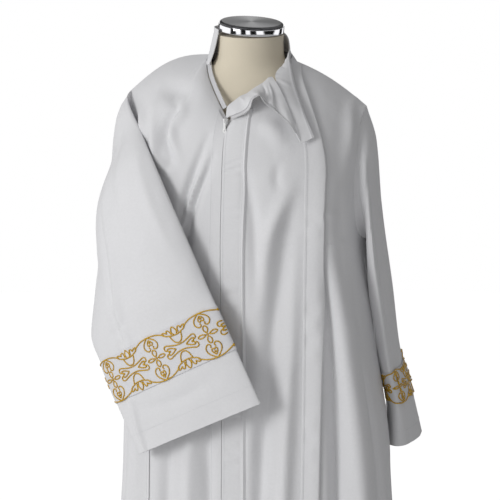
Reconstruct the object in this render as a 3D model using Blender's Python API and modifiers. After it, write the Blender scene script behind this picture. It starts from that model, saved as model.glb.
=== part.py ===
"""An alb, the long white robe of a priest, worn by a limbless dress form on a stand.

Metres, +Z up. The robe faces -Y and the wearer's right is -X. The origin is the centre
of the stand's underside. Every cloth piece is a thin wall made on a surface: the body
panels are sections round the trunk, the sleeves are rings between a front fold and a
back fold, and strips that lie on a panel are made from that panel's own points.
"""
import math

import bmesh
import bpy
import numpy as np
from mathutils import Matrix, Vector

# ---------------------------------------------------------------- driving dimensions
CLOTH = 0.0015        # wall of the robe's cloth
TRIM = 0.0011         # wall of bands, plackets, pleats and tapes
LAY = 0.0006          # clear space under a piece that lies on another
SEAM = 0.0012         # clear space between two pieces that are sewn edge to edge

HEM_Z = 0.10
UNDERARM_Z = 1.25
CHEST_Z = 1.36        # where the trunk's sections end and the shoulders begin
TIP_ANGLE = 73.0      # degrees from the middle to the armhole's edge at the chest
NECK_U = 0.42         # share of the top edge that is neckline, the rest is shoulder seam
NECK_POINT = (0.076, 0.0, 1.562)
SHOULDER_TIP = {-1: (0.232, 0.008, 1.482), 1: (0.220, 0.008, 1.487)}
FRONT_POWER = 2.8     # a squarer section in front, rounder behind
BACK_POWER = 2.2
SHOULDER_RISE = {-1: 0.012, 1: 0.007}   # how far the shoulder seam arches up

# height, half width on the wearer's right and left, depth in front and behind
TRUNK = [
    (HEM_Z, (0.288, 0.308, 0.190, 0.195)),
    (0.45, (0.262, 0.288, 0.160, 0.165)),
    (0.75, (0.238, 0.270, 0.142, 0.138)),
    (0.90, (0.232, 0.257, 0.139, 0.122)),
    (1.05, (0.226, 0.239, 0.140, 0.116)),
    (1.25, (0.214, 0.214, 0.143, 0.116)),
    (CHEST_Z, (0.214, 0.214, 0.136, 0.106)),
]

# wearer's side, degrees from the middle at the top and at the bottom, width in degrees,
# height where it starts, height outwards (a negative one is a trough) at top and bottom
FRONT_FOLDS = [
    (1, 52, 66, 7.5, 1.42, 0.006, 0.012),
    (1, 62, 84, 7.5, 1.40, 0.004, 0.010),
    (1, 57, 75, 6.5, 1.38, -0.007, -0.010),
    (1, 36, 18, 7.5, 1.36, -0.007, -0.003),
    (1, 22, 31, 8.0, 1.20, 0.000, 0.009),
    (-1, 44, 58, 7.5, 1.42, 0.006, 0.010),
    (-1, 53, 69, 7.0, 1.40, -0.007, -0.010),
    (-1, 64, 82, 7.5, 1.36, 0.004, 0.010),
    (-1, 26, 34, 8.5, 1.20, 0.000, 0.009),
]
BACK_FOLDS = [
    (1, 14, 16, 8.0, 1.30, 0.000, 0.013),
    (1, 30, 36, 8.0, 1.36, -0.006, -0.012),
    (1, 46, 56, 8.5, 1.38, 0.006, 0.014),
    (1, 64, 76, 8.0, 1.30, -0.002, -0.010),
    (-1, 16, 18, 8.0, 1.30, 0.000, 0.012),
    (-1, 32, 38, 8.0, 1.36, -0.006, -0.012),
    (-1, 48, 58, 8.5, 1.38, 0.006, 0.014),
    (-1, 66, 77, 8.0, 1.30, -0.002, -0.010),
]

# neckline of each front, from the middle to the shoulder seam
NECKLINE = {
    -1: [(-0.0045, -0.103, 1.463), (-0.032, -0.084, 1.497), (-0.060, -0.056, 1.531),
         (-0.077, -0.022, 1.556)],
    1: [(0.0045, -0.103, 1.463), (0.018, -0.096, 1.489), (0.042, -0.084, 1.506),
        (0.066, -0.058, 1.524), (0.076, -0.024, 1.547)],
}
BACK_NECK_Y = 0.064
BACK_NECK_Z = 1.570

PLACKET = {-1: (0.0020, 0.0230), 1: (0.0020, 0.0460)}
PLEAT_INNER = 0.148
PLEAT_FOLD = 0.181

# share of the sleeve's length, then its outline there: the fold or top line, the lower
# line, and how far the side nearer the trunk and the outer side bulge between them
SLEEVE_RIGHT = [
    (0.00, (-0.232, 0.006, 1.482), (-0.216, 0.010, 1.246), (-0.010, -0.060, 0.0), (-0.012, 0.080, 0.0)),
    (0.07, (-0.240, -0.028, 1.480), (-0.232, 0.040, 1.232), (-0.014, -0.046, 0.0), (-0.020, 0.044, 0.004)),
    (0.17, (-0.180, -0.088, 1.432), (-0.258, 0.074, 1.215), (-0.018, -0.030, 0.0), (-0.040, -0.006, 0.010)),
    (0.33, (-0.132, -0.138, 1.385), (-0.273, 0.064, 1.170), (-0.036, -0.030, 0.0), (-0.050, -0.036, 0.004)),
    (0.50, (-0.072, -0.167, 1.290), (-0.285, 0.012, 1.120), (-0.034, -0.036, 0.004), (-0.044, -0.048, 0.010)),
    (0.65, (-0.018, -0.174, 1.185), (-0.284, -0.070, 1.038), (-0.014, -0.023, 0.004), (-0.022, -0.040, 0.010)),
    (0.75, (0.005, -0.178, 1.142), (-0.248, -0.116, 0.998), (0.0, -0.006, 0.0), (-0.007, -0.024, 0.001)),
    (0.875, (0.044, -0.181, 1.067), (-0.207, -0.138, 0.932), (0.001, 0.002, 0.0), (-0.005, -0.019, 0.0)),
    (1.00, (0.092, -0.184, 0.973), (-0.155, -0.158, 0.847), (0.002, 0.006, 0.0), (-0.004, -0.015, 0.0)),
]
SLEEVE_LEFT = [
    (0.00, (0.220, 0.006, 1.487), (0.212, 0.012, 1.246), (0.010, -0.060, 0.0), (0.010, 0.080, 0.0)),
    (0.17, (0.235, 0.014, 1.420), (0.227, 0.030, 1.232), (0.002, -0.060, 0.006), (-0.024, 0.072, -0.006)),
    (0.36, (0.239, 0.036, 1.290), (0.227, 0.042, 1.200), (0.014, -0.082, 0.006), (-0.034, 0.086, -0.010)),
    (0.56, (0.247, 0.070, 1.140), (0.228, 0.062, 1.110), (0.020, -0.088, 0.004), (-0.038, 0.098, -0.010)),
    (0.74, (0.260, 0.092, 1.010), (0.232, 0.082, 1.000), (0.026, -0.098, 0.006), (-0.044, 0.106, -0.008)),
    (0.875, (0.272, 0.110, 0.940), (0.238, 0.098, 0.938), (0.028, -0.106, 0.008), (-0.044, 0.113, -0.008)),
    (1.00, (0.282, 0.130, 0.862), (0.236, 0.114, 0.866), (0.032, -0.114, 0.009), (-0.042, 0.117, -0.009)),
]
SLEEVE = {-1: SLEEVE_RIGHT, 1: SLEEVE_LEFT}
SLEEVE_SIDES, SLEEVE_ROWS = 20, 16
ARMHOLE_REACH = 0.17   # share of the sleeve over which the armhole's shape fades out
BAND = (0.750, 0.875)  # embroidered band, as shares of the sleeve's length

# the collar's seam to the neck and its free edge, from the wearer's right, round the
# back, to the end that has fallen open on the left chest
COLLAR = [
    (0.00, (-0.0790, -0.030, 1.5600), (-0.0680, -0.022, 1.6020)),
    (0.10, (-0.0800, 0.012, 1.5700), (-0.0705, 0.010, 1.6120)),
    (0.22, (-0.0560, 0.053, 1.5790), (-0.0510, 0.050, 1.6160)),
    (0.34, (0.0000, 0.069, 1.5800), (0.0000, 0.066, 1.6170)),
    (0.46, (0.0560, 0.053, 1.5790), (0.0520, 0.051, 1.6140)),
    (0.58, (0.0780, 0.014, 1.5720), (0.0730, 0.014, 1.5990)),
    (0.68, (0.0790, -0.024, 1.5600), (0.0870, -0.018, 1.5790)),
    (0.79, (0.0730, -0.066, 1.5390), (0.1100, -0.061, 1.5280)),
    (0.90, (0.1080, -0.101, 1.4980), (0.1380, -0.093, 1.4830)),
    (1.00, (0.1400, -0.117, 1.4310), (0.1610, -0.104, 1.4420)),
]

# the opened front edge: its roll line at the neck, a point halfway, and its zip edge
FACING = [
    (0.00, (0.0030, -0.1075, 1.4700), (0.0045, -0.1110, 1.4680), (0.0060, -0.1140, 1.4660)),
    (0.25, (0.0180, -0.0990, 1.4980), (0.0230, -0.1090, 1.4950), (0.0300, -0.1180, 1.4830)),
    (0.50, (0.0390, -0.0890, 1.5160), (0.0440, -0.1040, 1.5180), (0.0500, -0.1190, 1.5100)),
    (0.70, (0.0520, -0.0790, 1.5240), (0.0620, -0.0990, 1.5200), (0.0740, -0.1160, 1.5020)),
    (0.86, (0.0610, -0.0710, 1.5310), (0.0790, -0.0960, 1.5180), (0.1010, -0.1160, 1.4800)),
    (1.00, (0.0690, -0.0640, 1.5345), (0.1035, -0.1000, 1.4960), (0.1370, -0.1170, 1.4320)),
]

FORM = [  # height, half width, depth in front, depth behind
    (0.800, (0.150, 0.108, 0.100)),
    (0.815, (0.163, 0.118, 0.106)),
    (0.900, (0.166, 0.120, 0.106)),
    (1.060, (0.140, 0.100, 0.092)),
    (1.280, (0.176, 0.118, 0.098)),
    (1.380, (0.186, 0.108, 0.088)),
    (1.440, (0.190, 0.092, 0.076)),
    (1.475, (0.182, 0.082, 0.066)),
    (1.495, (0.162, 0.075, 0.062)),
    (1.515, (0.128, 0.069, 0.058)),
    (1.535, (0.090, 0.063, 0.056)),
    (1.555, (0.065, 0.060, 0.055)),
    (1.580, (0.059, 0.0585, 0.056)),
    (1.603, (0.0585, 0.0585, 0.0585)),
]
CAP_RADIUS = 0.059
CAP_BAND_Z = (1.6036, 1.6150)
CAP_TOP_Z = 1.6200
CAP_TILT = 3.0         # degrees, down towards the wearer's left
POLE_RADIUS = 0.0125
BASE_RADIUS = 0.19
BASE_HEIGHT = 0.012
HUB_RADIUS = 0.026
HUB_HEIGHT = 0.060

SLIDER = (-0.001, -0.1165, 1.4615)
TAB_LENGTH = 0.022


# ---------------------------------------------------------------- scene and materials
for old in list(bpy.data.objects):
    bpy.data.objects.remove(old, do_unlink=True)
robe = bpy.data.collections.new("alb_robe")
bpy.context.scene.collection.children.link(robe)


def material(name, colour, roughness, metallic=0.0):
    made = bpy.data.materials.new(name)
    made.use_nodes = True
    shader = made.node_tree.nodes["Principled BSDF"]
    shader.inputs["Base Color"].default_value = (*colour, 1.0)
    shader.inputs["Roughness"].default_value = roughness
    shader.inputs["Metallic"].default_value = metallic
    return made


ALB_CLOTH = material("white alb cloth", (0.80, 0.80, 0.81), 0.85)
BAND_CLOTH = material("embroidered band", (0.74, 0.70, 0.58), 0.75)
ZIP_TAPE = material("zip tape", (0.72, 0.72, 0.73), 0.7)
ZIP_METAL = material("white coated zip slider", (0.75, 0.75, 0.76), 0.35)
FORM_CLOTH = material("beige form cover", (0.58, 0.54, 0.44), 0.8)
CHROME = material("chrome", (0.75, 0.75, 0.76), 0.08, 1.0)
BRUSHED = material("brushed steel", (0.45, 0.45, 0.46), 0.3, 1.0)
PAINTED = material("painted steel", (0.08, 0.08, 0.085), 0.4)


def place(mesh, name, finish):
    thing = bpy.data.objects.new(name, mesh)
    thing.data.materials.append(finish)
    robe.objects.link(thing)
    for face in mesh.polygons:
        face.use_smooth = True
    return thing


# ---------------------------------------------------------------- curves through points
def through(stations, t):
    """A smooth curve through (place, values...) stations, read at place t."""
    places = [s[0] for s in stations]
    values = [np.array(s[1:], float) for s in stations]
    t = min(max(t, min(places)), max(places))
    k = 0
    while k < len(places) - 2 and t > places[k + 1]:
        k += 1

    def slope(i):
        low, high = max(i - 1, 0), min(i + 1, len(places) - 1)
        return (values[high] - values[low]) / (places[high] - places[low])

    span = places[k + 1] - places[k]
    x = (t - places[k]) / span
    return (
        (2 * x**3 - 3 * x**2 + 1) * values[k]
        + (x**3 - 2 * x**2 + x) * span * slope(k)
        + (3 * x**2 - 2 * x**3) * values[k + 1]
        + (x**3 - x**2) * span * slope(k + 1)
    )


def smooth(x):
    x = min(max(x, 0.0), 1.0)
    return x * x * (3 - 2 * x)


# ---------------------------------------------------------------- the trunk's panels
def fold_height(side, back, degrees, z):
    """How far the largest folds stand out of the trunk's section at this place."""
    total = 0.0
    for which, top, low, width, start, high, deep in BACK_FOLDS if back else FRONT_FOLDS:
        if which != side or z > start:
            continue
        fall = (start - z) / (start - HEM_Z)
        centre = top + (low - top) * fall
        grown = smooth((start - z) / 0.10)
        height = (high + (deep - high) * fall) * grown
        total += height * math.exp(-(((degrees - centre) / width) ** 2))
    return total


def trunk_point(side, back, degrees, z):
    right, left, front, behind = through(TRUNK, z)[0]
    half = right if side < 0 else left
    depth, power, sign = (behind, BACK_POWER, 1) if back else (front, FRONT_POWER, -1)
    sine, cosine = math.sin(math.radians(degrees)), math.cos(math.radians(degrees))
    reach = 1 / (abs(sine) ** power + abs(cosine) ** power) ** (1 / power)
    point = Vector((side * half * sine * reach, sign * depth * cosine * reach, z))
    outward = Vector((side * sine / half, sign * cosine / depth, 0)).normalized()
    return point + outward * fold_height(side, back, degrees, z)


def top_point(side, back, u):
    """The neckline and then the shoulder seam."""
    neck = Vector(NECK_POINT)
    neck.x *= side
    tip = Vector(SHOULDER_TIP[side])
    tip.x *= side
    if u > NECK_U:
        share = (u - NECK_U) / (1 - NECK_U)
        point = neck.lerp(tip, share)
        point.z += SHOULDER_RISE[side] * math.sin(math.pi * share)
        point.y += SEAM / 2 if back else -SEAM / 2
        return point
    share = u / NECK_U
    if back:
        turn = math.radians(90 * share)
        x = side * neck.x * side * math.sin(turn)
        return Vector((x, neck.y + SEAM + BACK_NECK_Y * math.cos(turn),
                       BACK_NECK_Z + (neck.z - BACK_NECK_Z) * share**2))
    line = [Vector(p) for p in NECKLINE[side]] + [neck]
    stations = [(i / (len(line) - 1), tuple(p)) for i, p in enumerate(line)]
    return Vector(through(stations, share)[0])


V_CHEST, V_UNDERARM = 0.24, 0.34


def panel_point(side, back, u, v):
    """u runs from the middle to the side, v from the neck and shoulder to the hem."""
    if v >= V_UNDERARM:
        z = UNDERARM_Z + (HEM_Z - UNDERARM_Z) * (v - V_UNDERARM) / (1 - V_UNDERARM)
        return trunk_point(side, back, u * 90, z)
    if v >= V_CHEST:
        share = (V_UNDERARM - v) / (V_UNDERARM - V_CHEST)
        z = UNDERARM_Z + (CHEST_Z - UNDERARM_Z) * share
        edge = 90 - (90 - TIP_ANGLE) * math.sqrt(1 - (1 - share) ** 2)
        return trunk_point(side, back, u * edge, z)
    chest = trunk_point(side, back, u * TIP_ANGLE, CHEST_Z)
    top = top_point(side, back, u)
    w = 1 - v / V_CHEST
    bend = Vector(((chest.x + top.x) / 2, chest.y + 0.12 * (top.y - chest.y),
                   top.z - 0.22 * (top.z - chest.z)))
    return chest * (1 - w) ** 2 + bend * 2 * w * (1 - w) + top * w**2


def outward_of(surface, u, v, middle):
    """The surface's normal, turned away from a middle line."""
    step = 1e-3
    across = surface(min(u + step, 1), v) - surface(max(u - step, -1), v)
    along = surface(u, min(v + step, 1)) - surface(u, max(v - step, 0))
    normal = across.cross(along).normalized()
    away = surface(u, v) - middle
    return normal if normal.dot(away) > 0 else -normal


def cloth(name, surface, across, along, wall, finish, u_span=(0, 1), v_span=(0, 1), tube=False):
    """A wall on a grid of across by along cells, sent onto the surface."""
    mesh = bpy.data.meshes.new(name)
    grid = bmesh.new()
    bmesh.ops.create_grid(grid, x_segments=across, y_segments=along, size=0.5)
    for vert in grid.verts:
        u = u_span[0] + (u_span[1] - u_span[0]) * (vert.co.x + 0.5)
        v = v_span[0] + (v_span[1] - v_span[0]) * (vert.co.y + 0.5)
        vert.co = surface(u, v)
    if tube:
        bmesh.ops.remove_doubles(grid, verts=grid.verts, dist=1e-6)
    grid.to_mesh(mesh)
    grid.free()
    thing = place(mesh, name, finish)
    shell = thing.modifiers.new("wall", "SOLIDIFY")
    shell.thickness = wall
    shell.offset = 0.0
    return thing


GAP_U = 0.0030   # keeps a panel's edge clear of the next panel's, as a share of u
FRONT_COLUMNS, FRONT_ROWS = 16, 20
BACK_COLUMNS, BACK_ROWS = 20, 18


def front_surface(side):
    return lambda u, v: panel_point(side, False, GAP_U + u * (1 - 2 * GAP_U), v)


def back_surface(u, v):
    side = 1 if u >= 0 else -1
    return panel_point(side, True, abs(u) * (1 - GAP_U), v)


cloth("front_right", front_surface(-1), FRONT_COLUMNS, FRONT_ROWS, CLOTH, ALB_CLOTH)
cloth("front_left", front_surface(1), FRONT_COLUMNS, FRONT_ROWS, CLOTH, ALB_CLOTH)
cloth("back", back_surface, BACK_COLUMNS, BACK_ROWS, CLOTH, ALB_CLOTH, u_span=(-1, 1))


# ---------------------------------------------------------------- strips on the fronts
def on_front(side):
    """The front as its own flat cells make it, so that a strip lies on it everywhere."""
    surface = front_surface(side)
    points = [[surface(i / FRONT_COLUMNS, j / FRONT_ROWS) for j in range(FRONT_ROWS + 1)]
              for i in range(FRONT_COLUMNS + 1)]

    def point(u, v):
        i = min(int(u * FRONT_COLUMNS), FRONT_COLUMNS - 1)
        j = min(int(v * FRONT_ROWS), FRONT_ROWS - 1)
        across, along = u * FRONT_COLUMNS - i, v * FRONT_ROWS - j
        near = points[i][j].lerp(points[i][j + 1], along)
        return near.lerp(points[i + 1][j].lerp(points[i + 1][j + 1], along), across)
    return point


def strip(side, inner, outer, rise):
    """A strip of a front between two distances from the middle, moved out by rise(u, v)."""
    flat, curved = on_front(side), front_surface(side)

    def point(u, v):
        x = inner(v) + (outer(v) - inner(v)) * u
        low, high = 0.0, 1.0
        for _ in range(24):
            half = (low + high) / 2
            if abs(flat(half, v).x) < x:
                low = half
            else:
                high = half
        here = flat(low, v)
        normal = outward_of(curved, low, v, Vector((0, 0, here.z - 0.08)))
        return here + normal * rise(u, v)
    return point


ON_FRONT = CLOTH / 2 + LAY + TRIM / 2
for side, name, top_row in ((-1, "placket_right", 1), (1, "placket_left", 2)):
    near, far = PLACKET[side]
    flat = strip(side, lambda v, x=near: x, lambda v, x=far: x, lambda u, v: ON_FRONT + LAY)
    cloth(name, flat, 3, FRONT_ROWS - top_row, TRIM, ALB_CLOTH, v_span=(top_row / FRONT_ROWS, 1))


def pleat_edge(low_x, top_x):
    """A pleat's edge: straight up from the hem, then curving to the neck at the shoulder."""
    return lambda v: top_x + (low_x - top_x) * smooth(min(v / V_CHEST, 1.0) ** 0.8)


PLEAT_RISE = 0.0040
for side, name in ((-1, "pleat_right"), (1, "pleat_left")):
    pleat = strip(side, pleat_edge(PLEAT_INNER, 0.080), pleat_edge(PLEAT_FOLD, 0.098),
                  lambda u, v: ON_FRONT + LAY + PLEAT_RISE * smooth(u) * smooth(v / 0.1))
    cloth(name, pleat, 3, FRONT_ROWS, TRIM, ALB_CLOTH, v_span=(0.004, 1))


# ---------------------------------------------------------------- sleeves
def armhole_point(side, turn):
    """The armhole's edge: turn 0 is the shoulder tip, 0.5 the underarm, 0.25 the front."""
    back = turn > 0.5
    share = 2 * (1 - turn) if back else 2 * turn
    return panel_point(side, back, 1.0, share * V_UNDERARM)


def sleeve_ring(side, turn, s):
    top, low, inner, outer = through(SLEEVE[side], s)
    middle, half = (top + low) / 2, (top - low) / 2
    around = 2 * math.pi * turn
    bulge = inner if turn <= 0.5 else outer
    return Vector(middle + half * math.cos(around) + bulge * abs(math.sin(around)) ** 1.15)


def sleeve_point(side, turn, s):
    point = sleeve_ring(side, turn, s)
    fade = 1 - smooth(s / ARMHOLE_REACH)
    edge = armhole_point(side, turn % 1.0) + Vector((side * (CLOTH + SEAM), 0, 0))
    point += (edge - sleeve_ring(side, turn, 0.0)) * fade
    return point


def sleeve_surface(side):
    return lambda u, v: sleeve_point(side, u % 1.0 if u != 1 else 0.0, v)


for side, word in ((-1, "right"), (1, "left")):
    cloth("sleeve_" + word, sleeve_surface(side), SLEEVE_SIDES, SLEEVE_ROWS, CLOTH, ALB_CLOTH, tube=True)


def band_surface(side):
    """The sleeve's own rings moved out, with a mitre at the two folds."""
    height = CLOTH / 2 + LAY + TRIM / 2
    cell = 1 / SLEEVE_SIDES

    def point(u, v):
        here = sleeve_point(side, u % 1, v)
        ahead = sleeve_point(side, (u + cell) % 1, v) - here
        behind = sleeve_point(side, (u - cell) % 1, v) - here
        along = sleeve_point(side, u % 1, v + 0.01) - sleeve_point(side, u % 1, v - 0.01)
        corner = ahead.angle(behind)
        if math.degrees(corner) < 140:
            normal = -(ahead.normalized() + behind.normalized())
            normal -= normal.project(along)
        else:
            normal = (ahead - behind).cross(along) * side
        return here + normal.normalized() * height / math.sin(corner / 2)
    return point


for side, word in ((-1, "right"), (1, "left")):
    cloth("band_" + word, band_surface(side), SLEEVE_SIDES, 2, TRIM, BAND_CLOTH, v_span=BAND, tube=True)


# ---------------------------------------------------------------- collar and open front
def collar_point(u, v):
    seam, free = through(COLLAR, u)
    return Vector(seam + (free - seam) * v)


cloth("collar", collar_point, 28, 2, CLOTH, ALB_CLOTH)


def facing_point(u, v):
    roll, middle, edge = through(FACING, u)
    return Vector(roll * (1 - v) ** 2 + (2 * middle - (roll + edge) / 2) * 2 * v * (1 - v) + edge * v**2)


cloth("facing_left", facing_point, 12, 5, CLOTH, ALB_CLOTH, u_span=(0, 0.985))


# ---------------------------------------------------------------- zip
def zip_left_point(u, v):
    """A narrow tape along the opened front's edge."""
    place_u = 0.10 + 0.86 * v
    across = facing_point(place_u, 1.0) - facing_point(place_u, 0.97)
    return facing_point(place_u, 1.0) + across.normalized() * (0.0014 + 0.0060 * u)


def zip_right_point(u, v):
    """A narrow tape inside the slanting edge of the right front."""
    edge = top_point(-1, False, NECK_U * (0.12 + 0.80 * v))
    return edge + Vector((0.0022 + 0.0070 * u, -0.0015, 0.0022 + 0.0040 * u))


cloth("zip_tape_left", zip_left_point, 1, 14, TRIM, ZIP_TAPE)
cloth("zip_tape_right", zip_right_point, 1, 10, TRIM, ZIP_TAPE)


def block(name, size, centre, finish, bevel, segments=2):
    mesh = bpy.data.meshes.new(name)
    shape = bmesh.new()
    bmesh.ops.create_cube(shape, size=1.0)
    bmesh.ops.scale(shape, vec=size, verts=shape.verts)
    shape.to_mesh(mesh)
    shape.free()
    thing = place(mesh, name, finish)
    thing.location = centre
    round_off = thing.modifiers.new("edges", "BEVEL")
    round_off.width = bevel
    round_off.segments = segments
    return thing


slider_body = block("zip_slider", (0.0090, 0.0042, 0.0110), SLIDER, ZIP_METAL, 0.0012)
tab_pivot = Vector(SLIDER) + Vector((0, -0.0058, 0.0030))
tab = block("zip_pull_tab", (0.0052, 0.0016, TAB_LENGTH), (0, 0, 0), ZIP_METAL, 0.0006)
tab.data.transform(Matrix.Translation((0, 0, -TAB_LENGTH / 2)))
tab.location = tab_pivot

# ---------------------------------------------------------------- dress form and stand
FORM_SIDES = 32


def form_ring(shape, z, half, front, behind):
    ring = []
    for k in range(FORM_SIDES):
        angle = 2 * math.pi * k / FORM_SIDES
        depth = front if math.sin(angle) < 0 else behind
        ring.append(shape.verts.new((half * math.cos(angle), depth * math.sin(angle), z)))
    return ring


torso = bmesh.new()
rings = [form_ring(torso, z, *through(FORM, z)[0])
         for z in [s[0] for s in FORM[:2]] + list(np.linspace(0.86, 1.44, 9))
         + [s[0] for s in FORM[7:]]]
for low_ring, high_ring in zip(rings, rings[1:]):
    for k in range(FORM_SIDES):
        nxt = (k + 1) % FORM_SIDES
        torso.faces.new((low_ring[k], low_ring[nxt], high_ring[nxt], high_ring[k]))
torso.faces.new(list(reversed(rings[0])))
torso.faces.new(rings[-1])
torso_mesh = bpy.data.meshes.new("form_torso")
torso.to_mesh(torso_mesh)
torso.free()
place(torso_mesh, "form_torso", FORM_CLOTH)


def turned(name, profile, finish, steps=48):
    """A turned solid from (radius, height) pairs that run down its outer side."""
    mesh = bpy.data.meshes.new(name)
    line = bmesh.new()
    verts = [line.verts.new((r, 0, z)) for r, z in profile]
    for a, b in zip(verts, verts[1:]):
        line.edges.new((a, b))
    line.to_mesh(mesh)
    line.free()
    thing = place(mesh, name, finish)
    screw = thing.modifiers.new("turn", "SCREW")
    screw.steps = screw.render_steps = steps
    screw.use_merge_vertices = True
    screw.merge_threshold = 0.00001
    return thing


GAP = 0.0004
tilt = bpy.data.objects.new("cap_tilt", None)
robe.objects.link(tilt)
tilt.location = (0, 0, CAP_BAND_Z[0])
tilt.rotation_euler = (0, math.radians(CAP_TILT), 0)
rise = CAP_RADIUS * math.sin(math.radians(CAP_TILT)) + GAP
band_height = CAP_BAND_Z[1] - CAP_BAND_Z[0]
cap_height = CAP_TOP_Z - CAP_BAND_Z[1]
cap_band = turned("neck_cap_band", [
    (0, rise + band_height), (CAP_RADIUS - 0.0012, rise + band_height),
    (CAP_RADIUS, rise + band_height - 0.0012), (CAP_RADIUS, rise + 0.0008),
    (CAP_RADIUS - 0.0008, rise), (0, rise)], CHROME)
cap_top = turned("neck_cap_top", [
    (0, rise + band_height + GAP + cap_height),
    (CAP_RADIUS - 0.0050, rise + band_height + GAP + cap_height * 0.92),
    (CAP_RADIUS - 0.0022, rise + band_height + GAP + cap_height * 0.55),
    (CAP_RADIUS - 0.0014, rise + band_height + GAP), (0, rise + band_height + GAP)], BRUSHED)
cap_band.parent = tilt
cap_top.parent = tilt

turned("stand_pole", [
    (0, FORM[0][0] - GAP), (POLE_RADIUS, FORM[0][0] - GAP),
    (POLE_RADIUS, BASE_HEIGHT + HUB_HEIGHT + GAP), (0, BASE_HEIGHT + HUB_HEIGHT + GAP)], CHROME, 24)
turned("stand_hub", [
    (0, BASE_HEIGHT + HUB_HEIGHT), (HUB_RADIUS * 0.7, BASE_HEIGHT + HUB_HEIGHT),
    (HUB_RADIUS * 0.8, BASE_HEIGHT + HUB_HEIGHT - 0.004), (HUB_RADIUS * 0.8, BASE_HEIGHT + 0.012),
    (HUB_RADIUS, BASE_HEIGHT + GAP), (0, BASE_HEIGHT + GAP)], PAINTED, 32)
turned("stand_base", [
    (0, BASE_HEIGHT), (BASE_RADIUS - 0.006, BASE_HEIGHT * 0.85), (BASE_RADIUS, BASE_HEIGHT * 0.45),
    (BASE_RADIUS, 0.001), (BASE_RADIUS - 0.001, 0), (0, 0)], PAINTED, 64)
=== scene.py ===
"""An alb, the long white robe of a priest, worn by a limbless dress form on a round stand.

Metres, +Z up. The robe faces -Y and the wearer's right is -X. The sections follow the
order in which the real thing is put together: the stand, the form, the robe's panels,
its strips, sleeves, bands, collar, zip and stitching.
"""

import math

import bmesh
import bpy
import numpy as np
from mathutils import Matrix, Vector


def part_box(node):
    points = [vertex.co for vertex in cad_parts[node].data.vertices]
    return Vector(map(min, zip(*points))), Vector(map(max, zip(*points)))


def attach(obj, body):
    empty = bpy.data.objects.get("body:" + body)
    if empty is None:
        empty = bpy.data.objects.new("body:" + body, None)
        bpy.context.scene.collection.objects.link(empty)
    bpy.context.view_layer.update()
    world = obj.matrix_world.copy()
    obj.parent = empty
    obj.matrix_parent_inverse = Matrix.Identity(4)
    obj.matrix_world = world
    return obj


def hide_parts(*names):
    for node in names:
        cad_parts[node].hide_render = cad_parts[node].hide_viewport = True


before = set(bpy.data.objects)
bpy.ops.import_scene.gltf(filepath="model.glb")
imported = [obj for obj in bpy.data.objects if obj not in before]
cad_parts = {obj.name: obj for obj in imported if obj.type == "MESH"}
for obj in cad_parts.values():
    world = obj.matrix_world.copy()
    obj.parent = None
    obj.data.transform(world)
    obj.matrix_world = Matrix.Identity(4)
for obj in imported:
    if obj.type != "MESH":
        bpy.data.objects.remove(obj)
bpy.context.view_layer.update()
BODY = "robe_and_stand"

# ---------------------------------------------------------------- stand
# A spun steel plate weighs the stand down, a turned hub is screwed to it and clamps a
# chromed steel tube. Plate and hub are powder coated black: satin, with a fine orange peel.


def linear(code):
    """An sRGB hex colour as a shader takes it."""
    parts = [int(code[i:i + 2], 16) / 255 for i in (1, 3, 5)]
    return (*[c / 12.92 if c <= 0.04045 else ((c + 0.055) / 1.055) ** 2.4 for c in parts], 1.0)


def add(tree, kind, inputs=None, **settings):
    """Adds a node with its settings. An input is given a value, or a socket to link to."""
    node = tree.nodes.new("ShaderNode" + kind)
    for key, value in settings.items():
        setattr(node, key, value)
    for socket, value in (inputs or {}).items():
        if isinstance(value, bpy.types.NodeSocket):
            tree.links.new(value, node.inputs[socket])
        else:
            node.inputs[socket].default_value = value
    return node


def finish(name, **values):
    """A new material. Returns it with its node tree and its Principled shader."""
    made = bpy.data.materials.new(name)
    made.use_nodes = True
    shader = made.node_tree.nodes["Principled BSDF"]
    for key, value in values.items():
        shader.inputs[key.replace("_", " ")].default_value = value
    return made, made.node_tree, shader


def grain(tree, size_mm, height_mm, detail=2.0, stretch=(1, 1, 1), **links):
    """A bump from noise of a real size, on the piece's own coordinates."""
    place = add(tree, "TexCoord")
    turned = add(tree, "Mapping", {"Vector": place.outputs["Object"], "Scale": stretch})
    noise = add(tree, "TexNoise", {"Vector": turned.outputs[0], "Scale": 1000 / size_mm, "Detail": detail})
    return add(tree, "Bump", {"Height": noise.outputs["Fac"], "Distance": height_mm / 1000,
                              "Strength": 1.0, **links})


def show(name, shape, surface, nodes, body=BODY, sharp=40):
    """Makes a piece from a bmesh, which stands for solid nodes and rides with their body."""
    mesh = bpy.data.meshes.new(name)
    shape.to_mesh(mesh)
    shape.free()
    mesh.shade_smooth()
    mesh.set_sharp_from_angle(angle=math.radians(sharp))
    mesh.materials.append(surface)
    thing = bpy.data.objects.new(name, mesh)
    bpy.context.scene.collection.objects.link(thing)
    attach(thing, body)
    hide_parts(*nodes)
    return thing


def spun(profile, steps=96):
    """A turned shape from (radius, height) pairs, spun once round the Z axis."""
    shape = bmesh.new()
    line = [shape.verts.new((radius, 0, height)) for radius, height in profile]
    edges = [shape.edges.new(pair) for pair in zip(line, line[1:])]
    bmesh.ops.spin(shape, geom=line + edges, axis=(0, 0, 1), cent=(0, 0, 0), steps=steps,
                   angle=2 * math.pi, use_merge=True)
    bmesh.ops.remove_doubles(shape, verts=shape.verts, dist=1e-6)
    bmesh.ops.recalc_face_normals(shape, faces=shape.faces)
    return shape


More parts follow.
